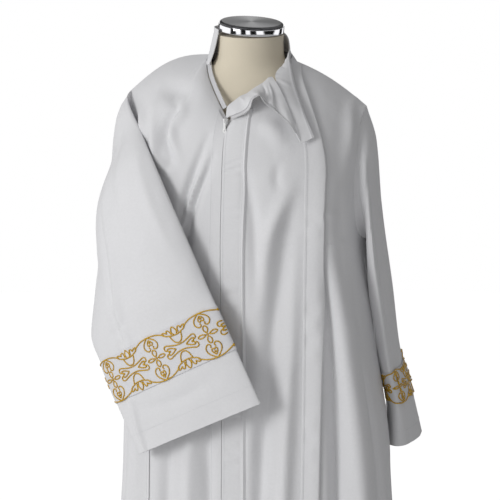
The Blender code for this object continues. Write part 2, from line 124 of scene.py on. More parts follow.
def rounded(corners, radius, steps=4):
    """The corners of a profile, with each inner one replaced by a short arc."""
    points = [Vector(c) for c in corners]
    made = [points[0]]
    for before, here, after in zip(points, points[1:], points[2:]):
        enter = here + (before - here).normalized() * min(radius, (before - here).length * 0.45)
        leave = here + (after - here).normalized() * min(radius, (after - here).length * 0.45)
        for k in range(steps + 1):
            t = k / steps
            made.append(enter * (1 - t) ** 2 + here * 2 * t * (1 - t) + leave * t ** 2)
    return [tuple(p) for p in made + [points[-1]]]


coat, tree, shader = finish("satin black powder coat", Base_Color=linear("#1C1C1E"), Roughness=0.42)
tree.links.new(grain(tree, 0.9, 0.02).outputs[0], shader.inputs["Normal"])

SOFT_EDGE = 0.0015
base_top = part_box("stand_base")[1]
base_shape = spun(rounded([(0, base_top.z), (base_top.x - 0.006, base_top.z * 0.85),
                           (base_top.x, base_top.z * 0.45), (base_top.x, 0.0), (0, 0.0)], SOFT_EDGE), 128)
show("base_plate", base_shape, coat, ["stand_base"])

hub_low, hub_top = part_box("stand_hub")
waist = hub_top.x * 0.80
hub_shape = spun(rounded([(0, hub_top.z), (hub_top.x * 0.70, hub_top.z), (waist, hub_top.z - 0.004),
                          (waist, hub_low.z + 0.012), (hub_top.x, hub_low.z),
                          (0, hub_low.z)], SOFT_EDGE), 64)
show("hub", hub_shape, coat, ["stand_hub"])

chrome, tree, shader = finish("polished chrome plate", Base_Color=linear("#E9E9EC"), Metallic=1.0,
                              Roughness=0.07)
place = add(tree, "TexCoord")
smudge = add(tree, "TexNoise", {"Vector": place.outputs["Object"], "Scale": 60.0, "Detail": 3.0})
dulled = add(tree, "MapRange", {"Value": smudge.outputs["Fac"], "To Min": 0.05, "To Max": 0.11})
tree.links.new(dulled.outputs[0], shader.inputs["Roughness"])

pole_low, pole_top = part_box("stand_pole")
pole_shape = spun(rounded([(0, pole_top.z), (pole_top.x, pole_top.z), (pole_top.x, pole_low.z),
                           (0, pole_low.z)], 0.001), 48)
show("pole", pole_shape, chrome, ["stand_pole"])

# ---------------------------------------------------------------- dress form
# A moulded torso with no limbs, padded and covered in beige cotton jersey, which is
# drawn up tightly over the neck. The stitched cover gives soft, slightly fuzzy edges.
FORM = [  # height, half width, depth in front, depth behind
    (.800, (.150, .108, .100)),
    (.815, (.163, .118, .106)),
    (.900, (.166, .120, .106)),
    (1.060, (.140, .100, .092)),
    (1.280, (.176, .118, .098)),
    (1.380, (.186, .108, .088)),
    (1.440, (.190, .092, .076)),
    (1.475, (.182, .082, .066)),
    (1.495, (.162, .075, .062)),
    (1.515, (.128, .069, .058)),
    (1.535, (.090, .063, .056)),
    (1.555, (.065, .060, .055)),
    (1.580, (.059, .0585, .056)),
    (1.603, (.0585, .0585, .0585)),
]


def through(stations, t):
    """A smooth curve through (place, values) stations, read at the places t."""
    places = np.array([s[0] for s in stations], float)
    values = np.array([s[1] for s in stations], float)
    last = len(places) - 1
    low, high = np.maximum(np.arange(last + 1) - 1, 0), np.minimum(np.arange(last + 1) + 1, last)
    shape = (-1,) + (1,) * (values.ndim - 1)
    slopes = (values[high] - values[low]) / (places[high] - places[low]).reshape(shape)
    t = np.clip(np.asarray(t, float), places[0], places[-1])
    k = np.clip(np.searchsorted(places, t) - 1, 0, last - 1)
    span = places[k + 1] - places[k]
    x = ((t - places[k]) / span).reshape(t.shape + (1,) * (values.ndim - 1))
    span = span.reshape(x.shape)
    return ((2 * x**3 - 3 * x**2 + 1) * values[k] + (x**3 - 2 * x**2 + x) * span * slopes[k]
            + (3 * x**2 - 2 * x**3) * values[k + 1] + (x**3 - x**2) * span * slopes[k + 1])


def woven(points, width, length, closed=False):
    """A grid of points as a mesh, with its UV map in metres of cloth."""
    across, along = points.shape[0] - 1, points.shape[1] - 1
    shape = bmesh.new()
    bmesh.ops.create_grid(shape, x_segments=across, y_segments=along, size=0.5)
    uv = shape.loops.layers.uv.new("cloth")
    for face in shape.faces:
        for corner in face.loops:
            corner[uv].uv = ((corner.vert.co.x + 0.5) * width, (corner.vert.co.y + 0.5) * length)
    for vert in shape.verts:
        vert.co = points[round((vert.co.x + 0.5) * across), round((vert.co.y + 0.5) * along)]
    if closed:
        bmesh.ops.remove_doubles(shape, verts=shape.verts, dist=1e-6)
    bmesh.ops.recalc_face_normals(shape, faces=shape.faces)
    return shape


def mesh_grid(across, along, u_span=(0.0, 1.0), v_span=(0.0, 1.0)):
    """The u and v of each point of a grid."""
    return np.meshgrid(np.linspace(*u_span, across + 1), np.linspace(*v_span, along + 1), indexing="ij")


def knit(name, colour, loop_mm, height_mm):
    """Knitted jersey: rows of small loops and a soft, mottled shade."""
    surface, tree, shader = finish(name, Base_Color=linear(colour), Roughness=0.86, Sheen_Weight=0.12)
    place = add(tree, "TexCoord")
    size = add(tree, "Mapping", {"Vector": place.outputs["UV"], "Scale": [1000 / loop_mm] * 3})
    rows = add(tree, "TexWave", {"Vector": size.outputs[0], "Scale": 0.31, "Distortion": 0.6},
               bands_direction="Y")
    wales = add(tree, "TexWave", {"Vector": size.outputs[0], "Scale": 0.31, "Distortion": 0.6},
                bands_direction="X")
    loops = add(tree, "Math", {0: rows.outputs["Fac"], 1: wales.outputs["Fac"]}, operation="MULTIPLY")
    bump = add(tree, "Bump", {"Height": loops.outputs[0], "Distance": height_mm / 1000, "Strength": 0.7})
    tree.links.new(bump.outputs[0], shader.inputs["Normal"])
    cloud = add(tree, "TexNoise", {"Vector": place.outputs["Object"], "Scale": 22.0, "Detail": 4.0})
    shade = add(tree, "Mix", {"Factor": cloud.outputs["Fac"]}, data_type="RGBA")
    shade.inputs["A"].default_value = [c * 0.90 for c in linear(colour)[:3]] + [1.0]
    shade.inputs["B"].default_value = linear(colour)
    tree.links.new(shade.outputs["Result"], shader.inputs["Base Color"])
    return surface


FORM_GIRTH, FORM_LENGTH = 1.05, 0.85
jersey = knit("beige cotton jersey", "#E2D8C3", 1.6, 0.12)
turn, level = mesh_grid(96, 90)
level = FORM[0][0] + (FORM[-1][0] - FORM[0][0]) * level
half, front, behind = np.moveaxis(through(FORM, level), -1, 0)
angle = 2 * math.pi * turn
depth = np.where(np.sin(angle) < 0, front, behind)
skin = np.stack([half * np.cos(angle), depth * np.sin(angle), level], -1)
centre = np.stack([0 * level, 0 * level, level], -1)
skin = np.concatenate([centre[:, :1], skin, centre[:, -1:]], 1)   # closed below and at the neck
form_shape = woven(skin, FORM_GIRTH, FORM_LENGTH, closed=True)
show("form_cover", form_shape, jersey, ["form_torso"], sharp=60)

# ---------------------------------------------------------------- neck cap
# The neck is closed by a metal cap: a turned disc with a radially brushed top, pressed
# into a polished chrome band. It sits a little tilted. Its top's colour has fans of painted
# highlight and shade, like the light that brushed metal throws.
CAP_RADIUS = 0.059
CAP_SEAT = 1.6036
CAP_TILT = math.radians(4.2)
CAP_NOD = math.radians(2.2)
BAND_HEIGHT = 0.0114
CAP_HEIGHT = 0.0050
CAP_CLEAR = 0.0016
# how many fans of painted highlight and shade go round the cap's top
HIGHLIGHT_FANS = 4

lift = CAP_RADIUS * math.sin(CAP_TILT) + CAP_CLEAR
tilted = Matrix.Translation((0, 0, CAP_SEAT)) @ Matrix.Rotation(CAP_TILT, 4, "Y")
tilted @= Matrix.Rotation(CAP_NOD, 4, "X")
band_shape = spun(rounded([(0, lift + BAND_HEIGHT), (CAP_RADIUS, lift + BAND_HEIGHT),
                           (CAP_RADIUS + 0.0001, lift + BAND_HEIGHT / 2), (CAP_RADIUS, lift),
                           (0, lift)], 0.0010), 160)
bmesh.ops.transform(band_shape, matrix=tilted, verts=band_shape.verts)
show("cap_band", band_shape, chrome, ["neck_cap_band"])


def ramp(tree, factor, dark, light):
    """A colour ramp with two stops, each given as its place and its colour."""
    node = add(tree, "ValToRGB", {"Fac": factor})
    for stop, (place, colour) in zip(node.color_ramp.elements, (dark, light)):
        stop.position = place
        stop.color = colour
    return node.outputs[0]


brushed, tree, shader = finish("radially brushed steel", Base_Color=linear("#9A9A9C"), Metallic=1.0,
                               Roughness=0.34)
shader.inputs["Anisotropic"].default_value = 0.75
place = add(tree, "TexCoord")
centred = add(tree, "Mapping", {"Vector": place.outputs["Object"], "Rotation": (0, -CAP_TILT, 0)})
round_it = add(tree, "TexGradient", {"Vector": centred.outputs[0]}, gradient_type="RADIAL")
strokes = add(tree, "TexNoise", {"W": 0.0, "Scale": 420.0, "Detail": 3.0}, noise_dimensions="1D")
tree.links.new(round_it.outputs["Fac"], strokes.inputs["W"])
# painted highlight and shade: the base colour turns light and dark in fans by the angle round the top, mixed
# with the brush strokes' noise, through a dark and a light stop
fan = add(tree, "Math", {0: round_it.outputs["Fac"], 1: HIGHLIGHT_FANS * 2 * math.pi}, operation="MULTIPLY")
painted_highlight_fans = add(tree, "Math", {0: fan.outputs[0]}, operation="SINE")
both = add(tree, "Math", {0: painted_highlight_fans.outputs[0], 1: 0.22, 2: strokes.outputs["Fac"]},
           operation="MULTIPLY_ADD")
painted_shade_and_highlight = ramp(tree, both.outputs[0], (0.22, linear("#202022")), (0.78, linear("#5A5A5C")))
tree.links.new(painted_shade_and_highlight, shader.inputs["Base Color"])
bump = add(tree, "Bump", {"Height": strokes.outputs["Fac"], "Distance": 0.00004, "Strength": 0.6})
tree.links.new(bump.outputs[0], shader.inputs["Normal"])

foot = lift + BAND_HEIGHT + 0.0002
cap_shape = spun(rounded([(0, foot + CAP_HEIGHT), (CAP_RADIUS - 0.0050, foot + CAP_HEIGHT * 0.92),
                          (CAP_RADIUS - 0.0022, foot + CAP_HEIGHT * 0.55), (CAP_RADIUS - 0.0014, foot),
                          (0, foot)], 0.0012), 160)
bmesh.ops.transform(cap_shape, matrix=tilted, verts=cap_shape.verts)
show("cap_top", cap_shape, brushed, ["neck_cap_top"])

# ---------------------------------------------------------------- fronts and back
# Three panels of white polyester and cotton plain weave, sewn at the shoulders and sides.
# They hang from the shoulders in long soft folds. The cloth is matt, fairly crisp and
# slightly creased where it was folded, so it takes soft shadows and no highlights.
CLOTH = 0.0015
HEM_Z = 0.10
UNDERARM_Z = 1.25
CHEST_Z = 1.36
TIP_ANGLE = 73.0                  # degrees from the middle to the armhole's edge at the chest
NECK_U = 0.42                     # share of the top edge that is neckline
V_CHEST, V_UNDERARM = 0.24, 0.34  # share of a panel's length down to the chest and underarm
NECK_POINT = (0.076, 0.0, 1.562)
SHOULDER_TIP = {-1: (0.239, 0.008, 1.487), 1: (0.217, 0.008, 1.485)}
SHOULDER_RISE = {-1: 0.021, 1: 0.009}
FRONT_POWER = 2.8                 # a squarer section in front, rounder behind
BACK_POWER = 2.2

TRUNK = [  # height, half width on the wearer's right and left, depth in front and behind
    (HEM_Z, (.288, .308, .190, .195)),
    (.45, (.262, .288, .160, .165)),
    (.75, (.238, .270, .142, .138)),
    (.90, (.232, .257, .139, .122)),
    (1.05, (.226, .239, .140, .116)),
    (1.25, (.214, .214, .143, .116)),
    (CHEST_Z, (.214, .214, .136, .106)),
]

# wearer's side, degrees from the middle at the top and at the bottom, width in degrees,
# height where it starts, height outwards (a negative one is a trough) at top and bottom
FRONT_FOLDS = [
    (1, 52, 66, 7.5, 1.42, .006, .012),
    (1, 62, 84, 7.5, 1.40, .004, .010),
    (1, 57, 75, 6.5, 1.38, -.007, -.010),
    (1, 36, 18, 7.5, 1.36, -.007, -.003),
    (1, 22, 31, 8.0, 1.20, .000, .009),
    (-1, 44, 58, 7.5, 1.42, .006, .010),
    (-1, 53, 69, 7.0, 1.40, -.007, -.010),
    (-1, 64, 82, 7.5, 1.36, .004, .010),
    (-1, 26, 34, 8.5, 1.20, .000, .009),
]
BACK_FOLDS = [
    (1, 14, 16, 8.0, 1.30, .000, .013),
    (1, 30, 36, 8.0, 1.36, -.006, -.012),
    (1, 46, 56, 8.5, 1.38, .006, .014),
    (1, 64, 76, 8.0, 1.30, -.002, -.010),
    (-1, 16, 18, 8.0, 1.30, .000, .012),
    (-1, 32, 38, 8.0, 1.36, -.006, -.012),
    (-1, 48, 58, 8.5, 1.38, .006, .014),
    (-1, 66, 77, 8.0, 1.30, -.002, -.010),
]
NECKLINE = {
    -1: [(-.0008, -.106, 1.461), (-.032, -.084, 1.497), (-.060, -.056, 1.531),
         (-.077, -.022, 1.556)],
    1: [(.0008, -.106, 1.461), (.018, -.096, 1.489), (.042, -.084, 1.506),
        (.066, -.058, 1.524), (.076, -.024, 1.547)],
}
BACK_NECK_Y = 0.064
BACK_NECK_Z = 1.570


def smooth(x):
    """Eases from 0 to 1."""
    x = np.clip(x, 0.0, 1.0)
    return x * x * (3 - 2 * x)


def mixed(a, b, t):
    """Points on the way from a to b."""
    return a + (b - a) * t[..., None]


def trunk_point(side, back, degrees, z):
    """A point of the trunk's section at this height, with the folds that hang from the chest."""
    right, left, front, behind = np.moveaxis(through(TRUNK, z), -1, 0)
    half = right if side < 0 else left
    depth, power, sign = (behind, BACK_POWER, 1) if back else (front, FRONT_POWER, -1)
    sine, cosine = np.sin(np.radians(degrees)), np.cos(np.radians(degrees))
    reach = 1 / (np.abs(sine) ** power + np.abs(cosine) ** power) ** (1 / power)
    point = np.stack([side * half * sine * reach, sign * depth * cosine * reach, z], -1)
    outward = np.stack([side * sine / half, sign * cosine / depth, np.zeros_like(z)], -1)
    outward /= np.linalg.norm(outward, axis=-1, keepdims=True)
    height = np.zeros_like(z)
    for which, top, low, width, start, high, deep in BACK_FOLDS if back else FRONT_FOLDS:
        if which != side:
            continue
        fall = np.clip((start - z) / (start - HEM_Z), 0, 1)
        grown = smooth((start - z) / 0.10)
        bell = np.exp(-(((degrees - top - (low - top) * fall) / width) ** 2))
        height += (high + (deep - high) * fall) * grown * bell
    return point + outward * height[..., None]


def top_point(side, back, u):
    """The neckline and then the shoulder seam, along a panel's top edge."""
    neck = np.array((side * NECK_POINT[0], *NECK_POINT[1:]))
    tip = np.array((side * SHOULDER_TIP[side][0], *SHOULDER_TIP[side][1:]))
    share = np.clip((u - NECK_U) / (1 - NECK_U), 0, 1)
    seam = mixed(neck, tip, share)
    seam[..., 2] += SHOULDER_RISE[side] * np.sin(math.pi * share)
    share = np.clip(u / NECK_U, 0, 1)
    if back:
        turn = math.pi / 2 * share
        line = np.stack([neck[0] * np.sin(turn), neck[1] + BACK_NECK_Y * np.cos(turn),
                         BACK_NECK_Z + (neck[2] - BACK_NECK_Z) * share**2], -1)
    else:
        points = NECKLINE[side] + [tuple(neck)]
        line = through([(i / (len(points) - 1), p) for i, p in enumerate(points)], share)
    return np.where((u > NECK_U)[..., None], seam, line)


def panel_point(side, back, u, v):
    """u runs from the middle to the side, v from the neck and shoulder to the hem."""
    low = UNDERARM_Z + (HEM_Z - UNDERARM_Z) * (v - V_UNDERARM) / (1 - V_UNDERARM)
    share = np.clip((V_UNDERARM - v) / (V_UNDERARM - V_CHEST), 0, 1)
    armhole = 90 - (90 - TIP_ANGLE) * np.sqrt(1 - (1 - share) ** 2)
    z = np.where(v >= V_UNDERARM, low, UNDERARM_Z + (CHEST_Z - UNDERARM_Z) * share)
    body = trunk_point(side, back, u * np.where(v >= V_UNDERARM, 90, armhole), z)
    chest = trunk_point(side, back, u * TIP_ANGLE, np.full_like(u, CHEST_Z))
    top = top_point(side, back, u)
    w = np.clip(1 - v / V_CHEST, 0, 1)
    bend = np.stack([(chest[..., 0] + top[..., 0]) / 2, chest[..., 1] + 0.12 * (top - chest)[..., 1],
                     top[..., 2] - 0.22 * (top - chest)[..., 2]], -1)
    yoke = mixed(mixed(chest, bend, w), mixed(bend, top, w), w)
    return np.where((v < V_CHEST)[..., None], yoke, body)


def relief(places, creases):
    """How high the creases stand at these places on the cloth, given in metres. A crease is
    a line of points, its half width, and its height at its start, its middle and its end."""
    total = np.zeros(places.shape[:-1])
    for line, width, heights in creases:
        count = len(line) - 1
        fine = through([(i / count, p) for i, p in enumerate(line)], np.linspace(0, 1, 6 * count + 1))
        nearest, along = np.full(total.shape, 1e9), np.zeros(total.shape)
        for k, (a, b) in enumerate(zip(fine, fine[1:])):
            step = b - a
            t = np.clip((places - a) @ step / (step @ step), 0, 1)
            gap = np.linalg.norm(places - a - t[..., None] * step, axis=-1)
            along = np.where(gap < nearest, (k + t) / (len(fine) - 1), along)
            nearest = np.minimum(gap, nearest)
        height = through([(0, [heights[0]]), (0.5, [heights[1]]), (1, [heights[2]])], along)[..., 0]
        total += height * np.exp(-((nearest / width) ** 2))
    return total


class Drape:
    """Cloth in its final shape, as a grid of points, on which other pieces are laid."""

    def __init__(self, points, inside, closed=False):
        across, along = np.gradient(points, axis=0), np.gradient(points, axis=1)
        if closed:
            across[0] = across[-1] = points[1] - points[-2]
        normals = np.cross(across, along)
        normals /= np.linalg.norm(normals, axis=-1, keepdims=True) + 1e-12
        self.points = points
        self.normals = normals if np.sum(normals * (points - inside)) > 0 else -normals

    def moved(self, height):
        """The points moved out along the cloth's normals."""
        return self.points + self.normals * height[..., None]

    def at(self, u, v, rise=0.0):
        """The point at this share across and along the cloth, moved out by rise."""
        rows, columns = self.points.shape[0] - 1, self.points.shape[1] - 1
        x, y = np.clip(u, 0, 1) * rows, np.clip(v, 0, 1) * columns
        i, j = np.minimum(x.astype(int), rows - 1), np.minimum(y.astype(int), columns - 1)
        x, y = (x - i)[..., None], (y - j)[..., None]
        corners = ((i, j, (1 - x) * (1 - y)), (i + 1, j, x * (1 - y)), (i, j + 1, (1 - x) * y),
                   (i + 1, j + 1, x * y))
        point = sum(self.points[a, b] * share for a, b, share in corners)
        normal = sum(self.normals[a, b] * share for a, b, share in corners)
        normal /= np.linalg.norm(normal, axis=-1, keepdims=True)
        return point + normal * np.asarray(rise)[..., None]


def sewn(name, points, surface, wall, flat, nodes, closed=False):
    """A cloth piece: a wall through a grid of points, whose UV map is laid out at the size it was cut to."""
    thing = show(name, woven(points, *flat, closed), surface, nodes)
    shell = thing.modifiers.new("wall", "SOLIDIFY")
    shell.thickness = wall
    shell.offset = 0.0
    bpy.context.view_layer.update()
    ready = thing.evaluated_get(bpy.context.evaluated_depsgraph_get())
    thing.modifiers.clear()
    thing.data = bpy.data.meshes.new_from_object(ready)
    thing.data.shade_smooth()
    thing.data.set_sharp_from_angle(angle=math.radians(48))


def plain_weave(name, colour, thread_mm=1.5, height_mm=0.10, rough=0.88):
    """Matt plain weave. Real threads are 0.3 mm apart, too fine to show, so they are drawn
    at thread_mm. A slow unevenness in shade and surface is what the eye reads as cloth."""
    surface, tree, shader = finish(name, Base_Color=linear(colour), Roughness=rough, Sheen_Weight=0.10,
                                   Sheen_Roughness=0.5)
    shader.inputs["Specular IOR Level"].default_value = 0.25
    place = add(tree, "TexCoord")
    size = add(tree, "Mapping", {"Vector": place.outputs["UV"], "Scale": [1000 / thread_mm] * 3})
    warp = add(tree, "TexWave", {"Vector": size.outputs[0], "Scale": 0.314, "Distortion": 0.8,
                                 "Detail": 1.0}, bands_direction="X")
    weft = add(tree, "TexWave", {"Vector": size.outputs[0], "Scale": 0.314, "Distortion": 0.8,
                                 "Detail": 1.0}, bands_direction="Y")
    threads = add(tree, "Math", {0: warp.outputs["Fac"], 1: weft.outputs["Fac"]}, operation="ADD")
    weave = add(tree, "Bump", {"Height": threads.outputs[0], "Distance": height_mm / 1000, "Strength": 0.35})
    crumpled = grain(tree, 16, 0.45, detail=3.0, stretch=(1.0, 1.0, 0.7), Normal=weave.outputs[0])
    pressed = grain(tree, 60, 2.4, detail=2.5, stretch=(1.0, 1.0, 0.5), Normal=crumpled.outputs[0])
    tree.links.new(pressed.outputs[0], shader.inputs["Normal"])
    slubs = add(tree, "TexNoise", {"Vector": size.outputs[0], "Scale": 0.35, "Detail": 3.0})
    cloud = add(tree, "TexNoise", {"Vector": place.outputs["Object"], "Scale": 9.0, "Detail": 3.0})
    both = add(tree, "Math", {0: slubs.outputs["Fac"], 1: cloud.outputs["Fac"]}, operation="MULTIPLY")
    shade = add(tree, "Mix", {"Factor": both.outputs[0]}, data_type="RGBA")
    shade.inputs["A"].default_value = [c * 0.93 for c in linear(colour)[:3]] + [1.0]
    shade.inputs["B"].default_value = [min(c * 1.06, 1) for c in linear(colour)[:3]] + [1.0]
    tree.links.new(shade.outputs["Result"], shader.inputs["Base Color"])
    return surface


alb_cloth = plain_weave("white polyester cotton weave", "#E3E3E5")

# creases on the fronts, in metres from the middle and above the floor
FRONT_CREASES = {
    -1: [
        ([(-.118, 1.490), (-.107, 1.475), (-.120, 1.448), (-.120, 1.421), (-.104, 1.395), (-.111, 1.370)],
         .009, (-.001, -.0055, -.001)),
        ([(-.156, 1.470), (-.146, 1.427), (-.136, 1.391), (-.118, 1.374), (-.098, 1.366)], .009,
         (.001, .0045, .001)),
        ([(-.103, 1.486), (-.088, 1.471), (-.104, 1.445), (-.100, 1.418), (-.085, 1.392)], .010,
         (.000, .0045, .001)),
        ([(-.031, 1.436), (-.047, 1.394), (-.061, 1.357), (-.074, 1.320), (-.083, 1.280)], .007,
         (-.001, -.0050, -.004)),
        ([(-.024, 1.415), (-.040, 1.370), (-.055, 1.335), (-.067, 1.300)], .006, (.000, .0040, .003)),
        ([(-.022, 1.400), (-.034, 1.369), (-.050, 1.333), (-.061, 1.296), (-.070, 1.240)], .010,
         (-.001, -.0065, -.006)),
        ([(-.160, 1.500), (-.120, 1.505), (-.080, 1.500)], .016, (-.001, -.0050, -.001)),
        ([(-.200, 1.470), (-.180, 1.440), (-.172, 1.400)], .010, (.000, .0040, .001)),
        ([(-.060, 1.240), (-.055, 1.100), (-.060, .950), (-.064, .800), (-.072, .500), (-.085, .200)], .015,
         (.000, .0040, .006)),
        ([(-.034, 1.000), (-.031, .880), (-.028, .780), (-.031, .560), (-.036, .300), (-.040, .120)], .012,
         (-.001, -.0055, -.006)),
        ([(-.112, 1.000), (-.110, .860), (-.114, .700), (-.125, .450), (-.135, .150)], .014,
         (-.001, -.0060, -.007)),
    ],
    1: [
        ([(.136, 1.360), (.119, 1.284), (.112, 1.206), (.097, 1.101), (.090, 1.019), (.081, .934),
          (.070, .802), (.066, .600), (.066, .300)], .016, (-.001, -.0070, -.006)),
        ([(.139, 1.376), (.117, 1.330), (.096, 1.280), (.082, 1.220), (.072, 1.130)], .014,
         (.000, .0045, .001)),
        ([(.131, 1.260), (.130, 1.102), (.125, .991), (.119, .805), (.112, .500), (.105, .150)], .012,
         (.001, .0050, .004)),
        ([(.187, 1.300), (.192, 1.220), (.205, 1.140), (.219, 1.040), (.235, .930), (.248, .800),
          (.262, .500), (.272, .150)], .013, (.002, .0085, .008)),
        ([(.182, 1.290), (.187, 1.200), (.194, 1.120), (.200, 1.030), (.205, .930), (.210, .800),
          (.216, .500), (.220, .150)], .011, (-.002, -.0085, -.009)),
        ([(.202, 1.250), (.222, 1.098), (.243, .986), (.261, .873), (.272, .780), (.286, .500)], .007,
         (.001, .0035, .003)),
        ([(.060, 1.463), (.085, 1.453), (.112, 1.425)], .014, (.001, .0040, .001)),
        ([(.045, 1.372), (.058, 1.304), (.066, 1.222), (.068, 1.150)], .011, (-.001, -.0040, -.001)),
        ([(.104, 1.400), (.100, 1.370), (.106, 1.340)], .009, (.000, -.0020, .000)),
        ([(.060, 1.000), (.056, .900), (.058, .700), (.054, .400), (.052, .150)], .010,
         (.000, .0030, .005)),
        ([(.196, 1.490), (.204, 1.440), (.206, 1.370)], .008, (.001, .0035, .001)),
    ],
}
BACK_CREASES = [
    ([(-.040, 1.520), (-.100, 1.455), (-.160, 1.380), (-.190, 1.300)], .014, (.001, .0050, .002)),
    ([(-.070, 1.520), (-.125, 1.460), (-.175, 1.400)], .010, (.000, -.0045, -.001)),
    ([(.040, 1.520), (.095, 1.450), (.150, 1.370), (.185, 1.290)], .014, (.001, .0050, .002)),
    ([(.075, 1.520), (.130, 1.465), (.178, 1.400)], .010, (.000, -.0045, -.001)),
    ([(-.012, 1.500), (.004, 1.400), (-.004, 1.250), (.006, 1.050), (.000, .800), (.000, .400),
      (.004, .150)], .016, (-.001, -.0060, -.009)),
    ([(-.130, 1.320), (-.120, 1.180), (-.135, 1.000), (-.150, .700), (-.165, .400), (-.175, .150)], .013,
     (.001, .0050, .006)),
    ([(.125, 1.330), (.118, 1.180), (.130, 1.000), (.148, .700), (.160, .400), (.172, .150)], .013,
     (.001, .0050, .006)),
    ([(-.060, 1.350), (-.072, 1.220), (-.064, 1.080), (-.075, .850)], .011, (.000, -.0045, -.002)),
    ([(.062, 1.340), (.070, 1.200), (.060, 1.060), (.078, .840)], .011, (.000, -.0045, -.002)),
    ([(-.200, 1.240), (-.150, 1.215), (-.110, 1.225)], .010, (.002, .0035, .000)),
    ([(.200, 1.245), (.155, 1.215), (.115, 1.222)], .010, (.002, .0035, .000)),
    ([(.208, 1.210), (.216, 1.120), (.222, 1.030), (.226, .940)], .016, (.001, .0045, .001)),
]
TRUNK_MIDDLE = np.array((0.0, 0.0, 1.0))
CREASE_DEPTH = 2.1   # the heights above are those in light cloth, and this robe's creases are deeper

drapes = {}
for side, word in ((-1, "right"), (1, "left")):
    u, v = mesh_grid(84, 300)
    hung = Drape(panel_point(side, False, u, v), TRUNK_MIDDLE)
    creased = hung.moved(CREASE_DEPTH * relief(hung.points[..., [0, 2]], FRONT_CREASES[side]))
    drapes["front_" + word] = Drape(creased, TRUNK_MIDDLE)
    sewn("front_panel_" + word, creased, alb_cloth, CLOTH, (0.36, 1.44), ["front_" + word])

u, v = mesh_grid(150, 260, u_span=(-1.0, 1.0))
halves = [panel_point(side, True, np.abs(u), v) for side in (-1, 1)]
hung = Drape(np.where((u < 0)[..., None], *halves), TRUNK_MIDDLE)
creased = hung.moved(CREASE_DEPTH * relief(hung.points[..., [0, 2]], BACK_CREASES))
drapes["back"] = Drape(creased, TRUNK_MIDDLE)
sewn("back_panel", creased, alb_cloth, CLOTH, (0.68, 1.48), ["back"])

# ---------------------------------------------------------------- plackets
# Two stitched strips of the same cloth meet over the zip. The wearer's left one is wide,
# and its outer edge is a pressed tuck. The seams pucker a little between their stitches.
TRIM = 0.0011
LAY = CLOTH / 2 + TRIM / 2 + 0.0004   # from a panel's middle to that of a strip laid on it
PLACKET_INNER = 0.0005
PLACKET_OUTER = {-1: 0.0230, 1: 0.0460}
PANEL_LENGTH = 1.45


def strip(side, inner, outer, rise, across, along, v_span):
    """Points of a strip of a front between two distances from the middle line."""
    panel = drapes["front_left" if side > 0 else "front_right"]
    u, v = mesh_grid(across, along, v_span=v_span)
    target = inner(v) + (outer(v) - inner(v)) * u
    columns = np.linspace(0, 1, panel.points.shape[1])
    rows = np.linspace(0, 1, panel.points.shape[0])
    away = np.abs(panel.points[..., 0])
    found = np.empty_like(u)
    for k in range(v.shape[1]):
        here = v[0, k]
        reach = np.array([np.interp(here, columns, away[i]) for i in range(len(rows))])
        found[:, k] = np.interp(target[:, k], np.maximum.accumulate(reach), rows)
    return panel.at(found, v, rise(u, v))


def puckers(v, start_v, pitch_m, seed):
    """Short uneven waves along a seam, below the place where they start."""
    chance = np.random.default_rng(seed)
    phase, slow = chance.uniform(0, 6.28, 3), chance.uniform(0.7, 1.3, 3)
    waves = sum(np.sin(2 * math.pi * v * PANEL_LENGTH / (pitch_m * s) + p) for s, p in zip(slow, phase))
    uneven = 0.5 + 0.5 * np.sin(2 * math.pi * v * PANEL_LENGTH / (pitch_m * 4.3) + phase[0])
    return waves / 3 * uneven * smooth((v - start_v) / 0.05)


def placket_rise(u, v):
    """The wide placket's height: a tuck near its outer edge, and puckers on its middle."""
    tuck = 0.0016 * np.exp(-(((u - 0.93) / 0.07) ** 2)) - 0.0004 * np.exp(-(((u - 0.80) / 0.05) ** 2))
    field = np.exp(-(((u - 0.42) / 0.30) ** 4))
    pressed = 0.0027 * smooth((u - 0.93) / 0.07)
    return LAY + tuck + 0.0008 - pressed + 0.0017 * puckers(v, 0.13, 0.030, 5) * field


def narrow_rise(u, v):
    """The narrow placket's height: a small ridge at its outer seam."""
    return LAY + 0.0006 + 0.0003 * np.exp(-(((u - 0.85) / 0.12) ** 2)) + 0.0003 * puckers(v, 0.10, 0.040, 6)


def level_at(distance):
    """An edge that keeps one distance from the middle line."""
    return lambda v: np.full_like(v, distance)


left_placket = strip(1, level_at(PLACKET_INNER), level_at(PLACKET_OUTER[1]), placket_rise, 26, 420,
                     (0.062, 1.0))
drapes["placket_left"] = Drape(left_placket, TRUNK_MIDDLE)
sewn("placket_strip_left", left_placket, alb_cloth, TRIM, (0.046, 1.33), ["placket_left"])
right_placket = strip(-1, level_at(PLACKET_INNER), level_at(PLACKET_OUTER[-1]), narrow_rise, 12, 320,
                      (0.030, 1.0))
drapes["placket_right"] = Drape(right_placket, TRUNK_MIDDLE)
sewn("placket_strip_right", right_placket, alb_cloth, TRIM, (0.022, 1.36), ["placket_right"])

# ---------------------------------------------------------------- pleats
# A pleat on each front runs from the shoulder to the hem: the cloth is folded back on
# itself, pressed and stitched down along its inner edge. The fold stands slightly proud.
PLEAT_INNER = (0.148, 0.080)   # distance from the middle at the hem, and at the shoulder
PLEAT_FOLD = (0.181, 0.098)
TURN_UNDER = 0.90              # share of the strip's width at which it turns back under itself


def pleat_edge(low_x, top_x):
    """A pleat's edge: straight up from the hem, then curving to the neck at the shoulder."""
    return lambda v: top_x + (low_x - top_x) * smooth(np.clip(v / V_CHEST, 0, 1) ** 0.8)


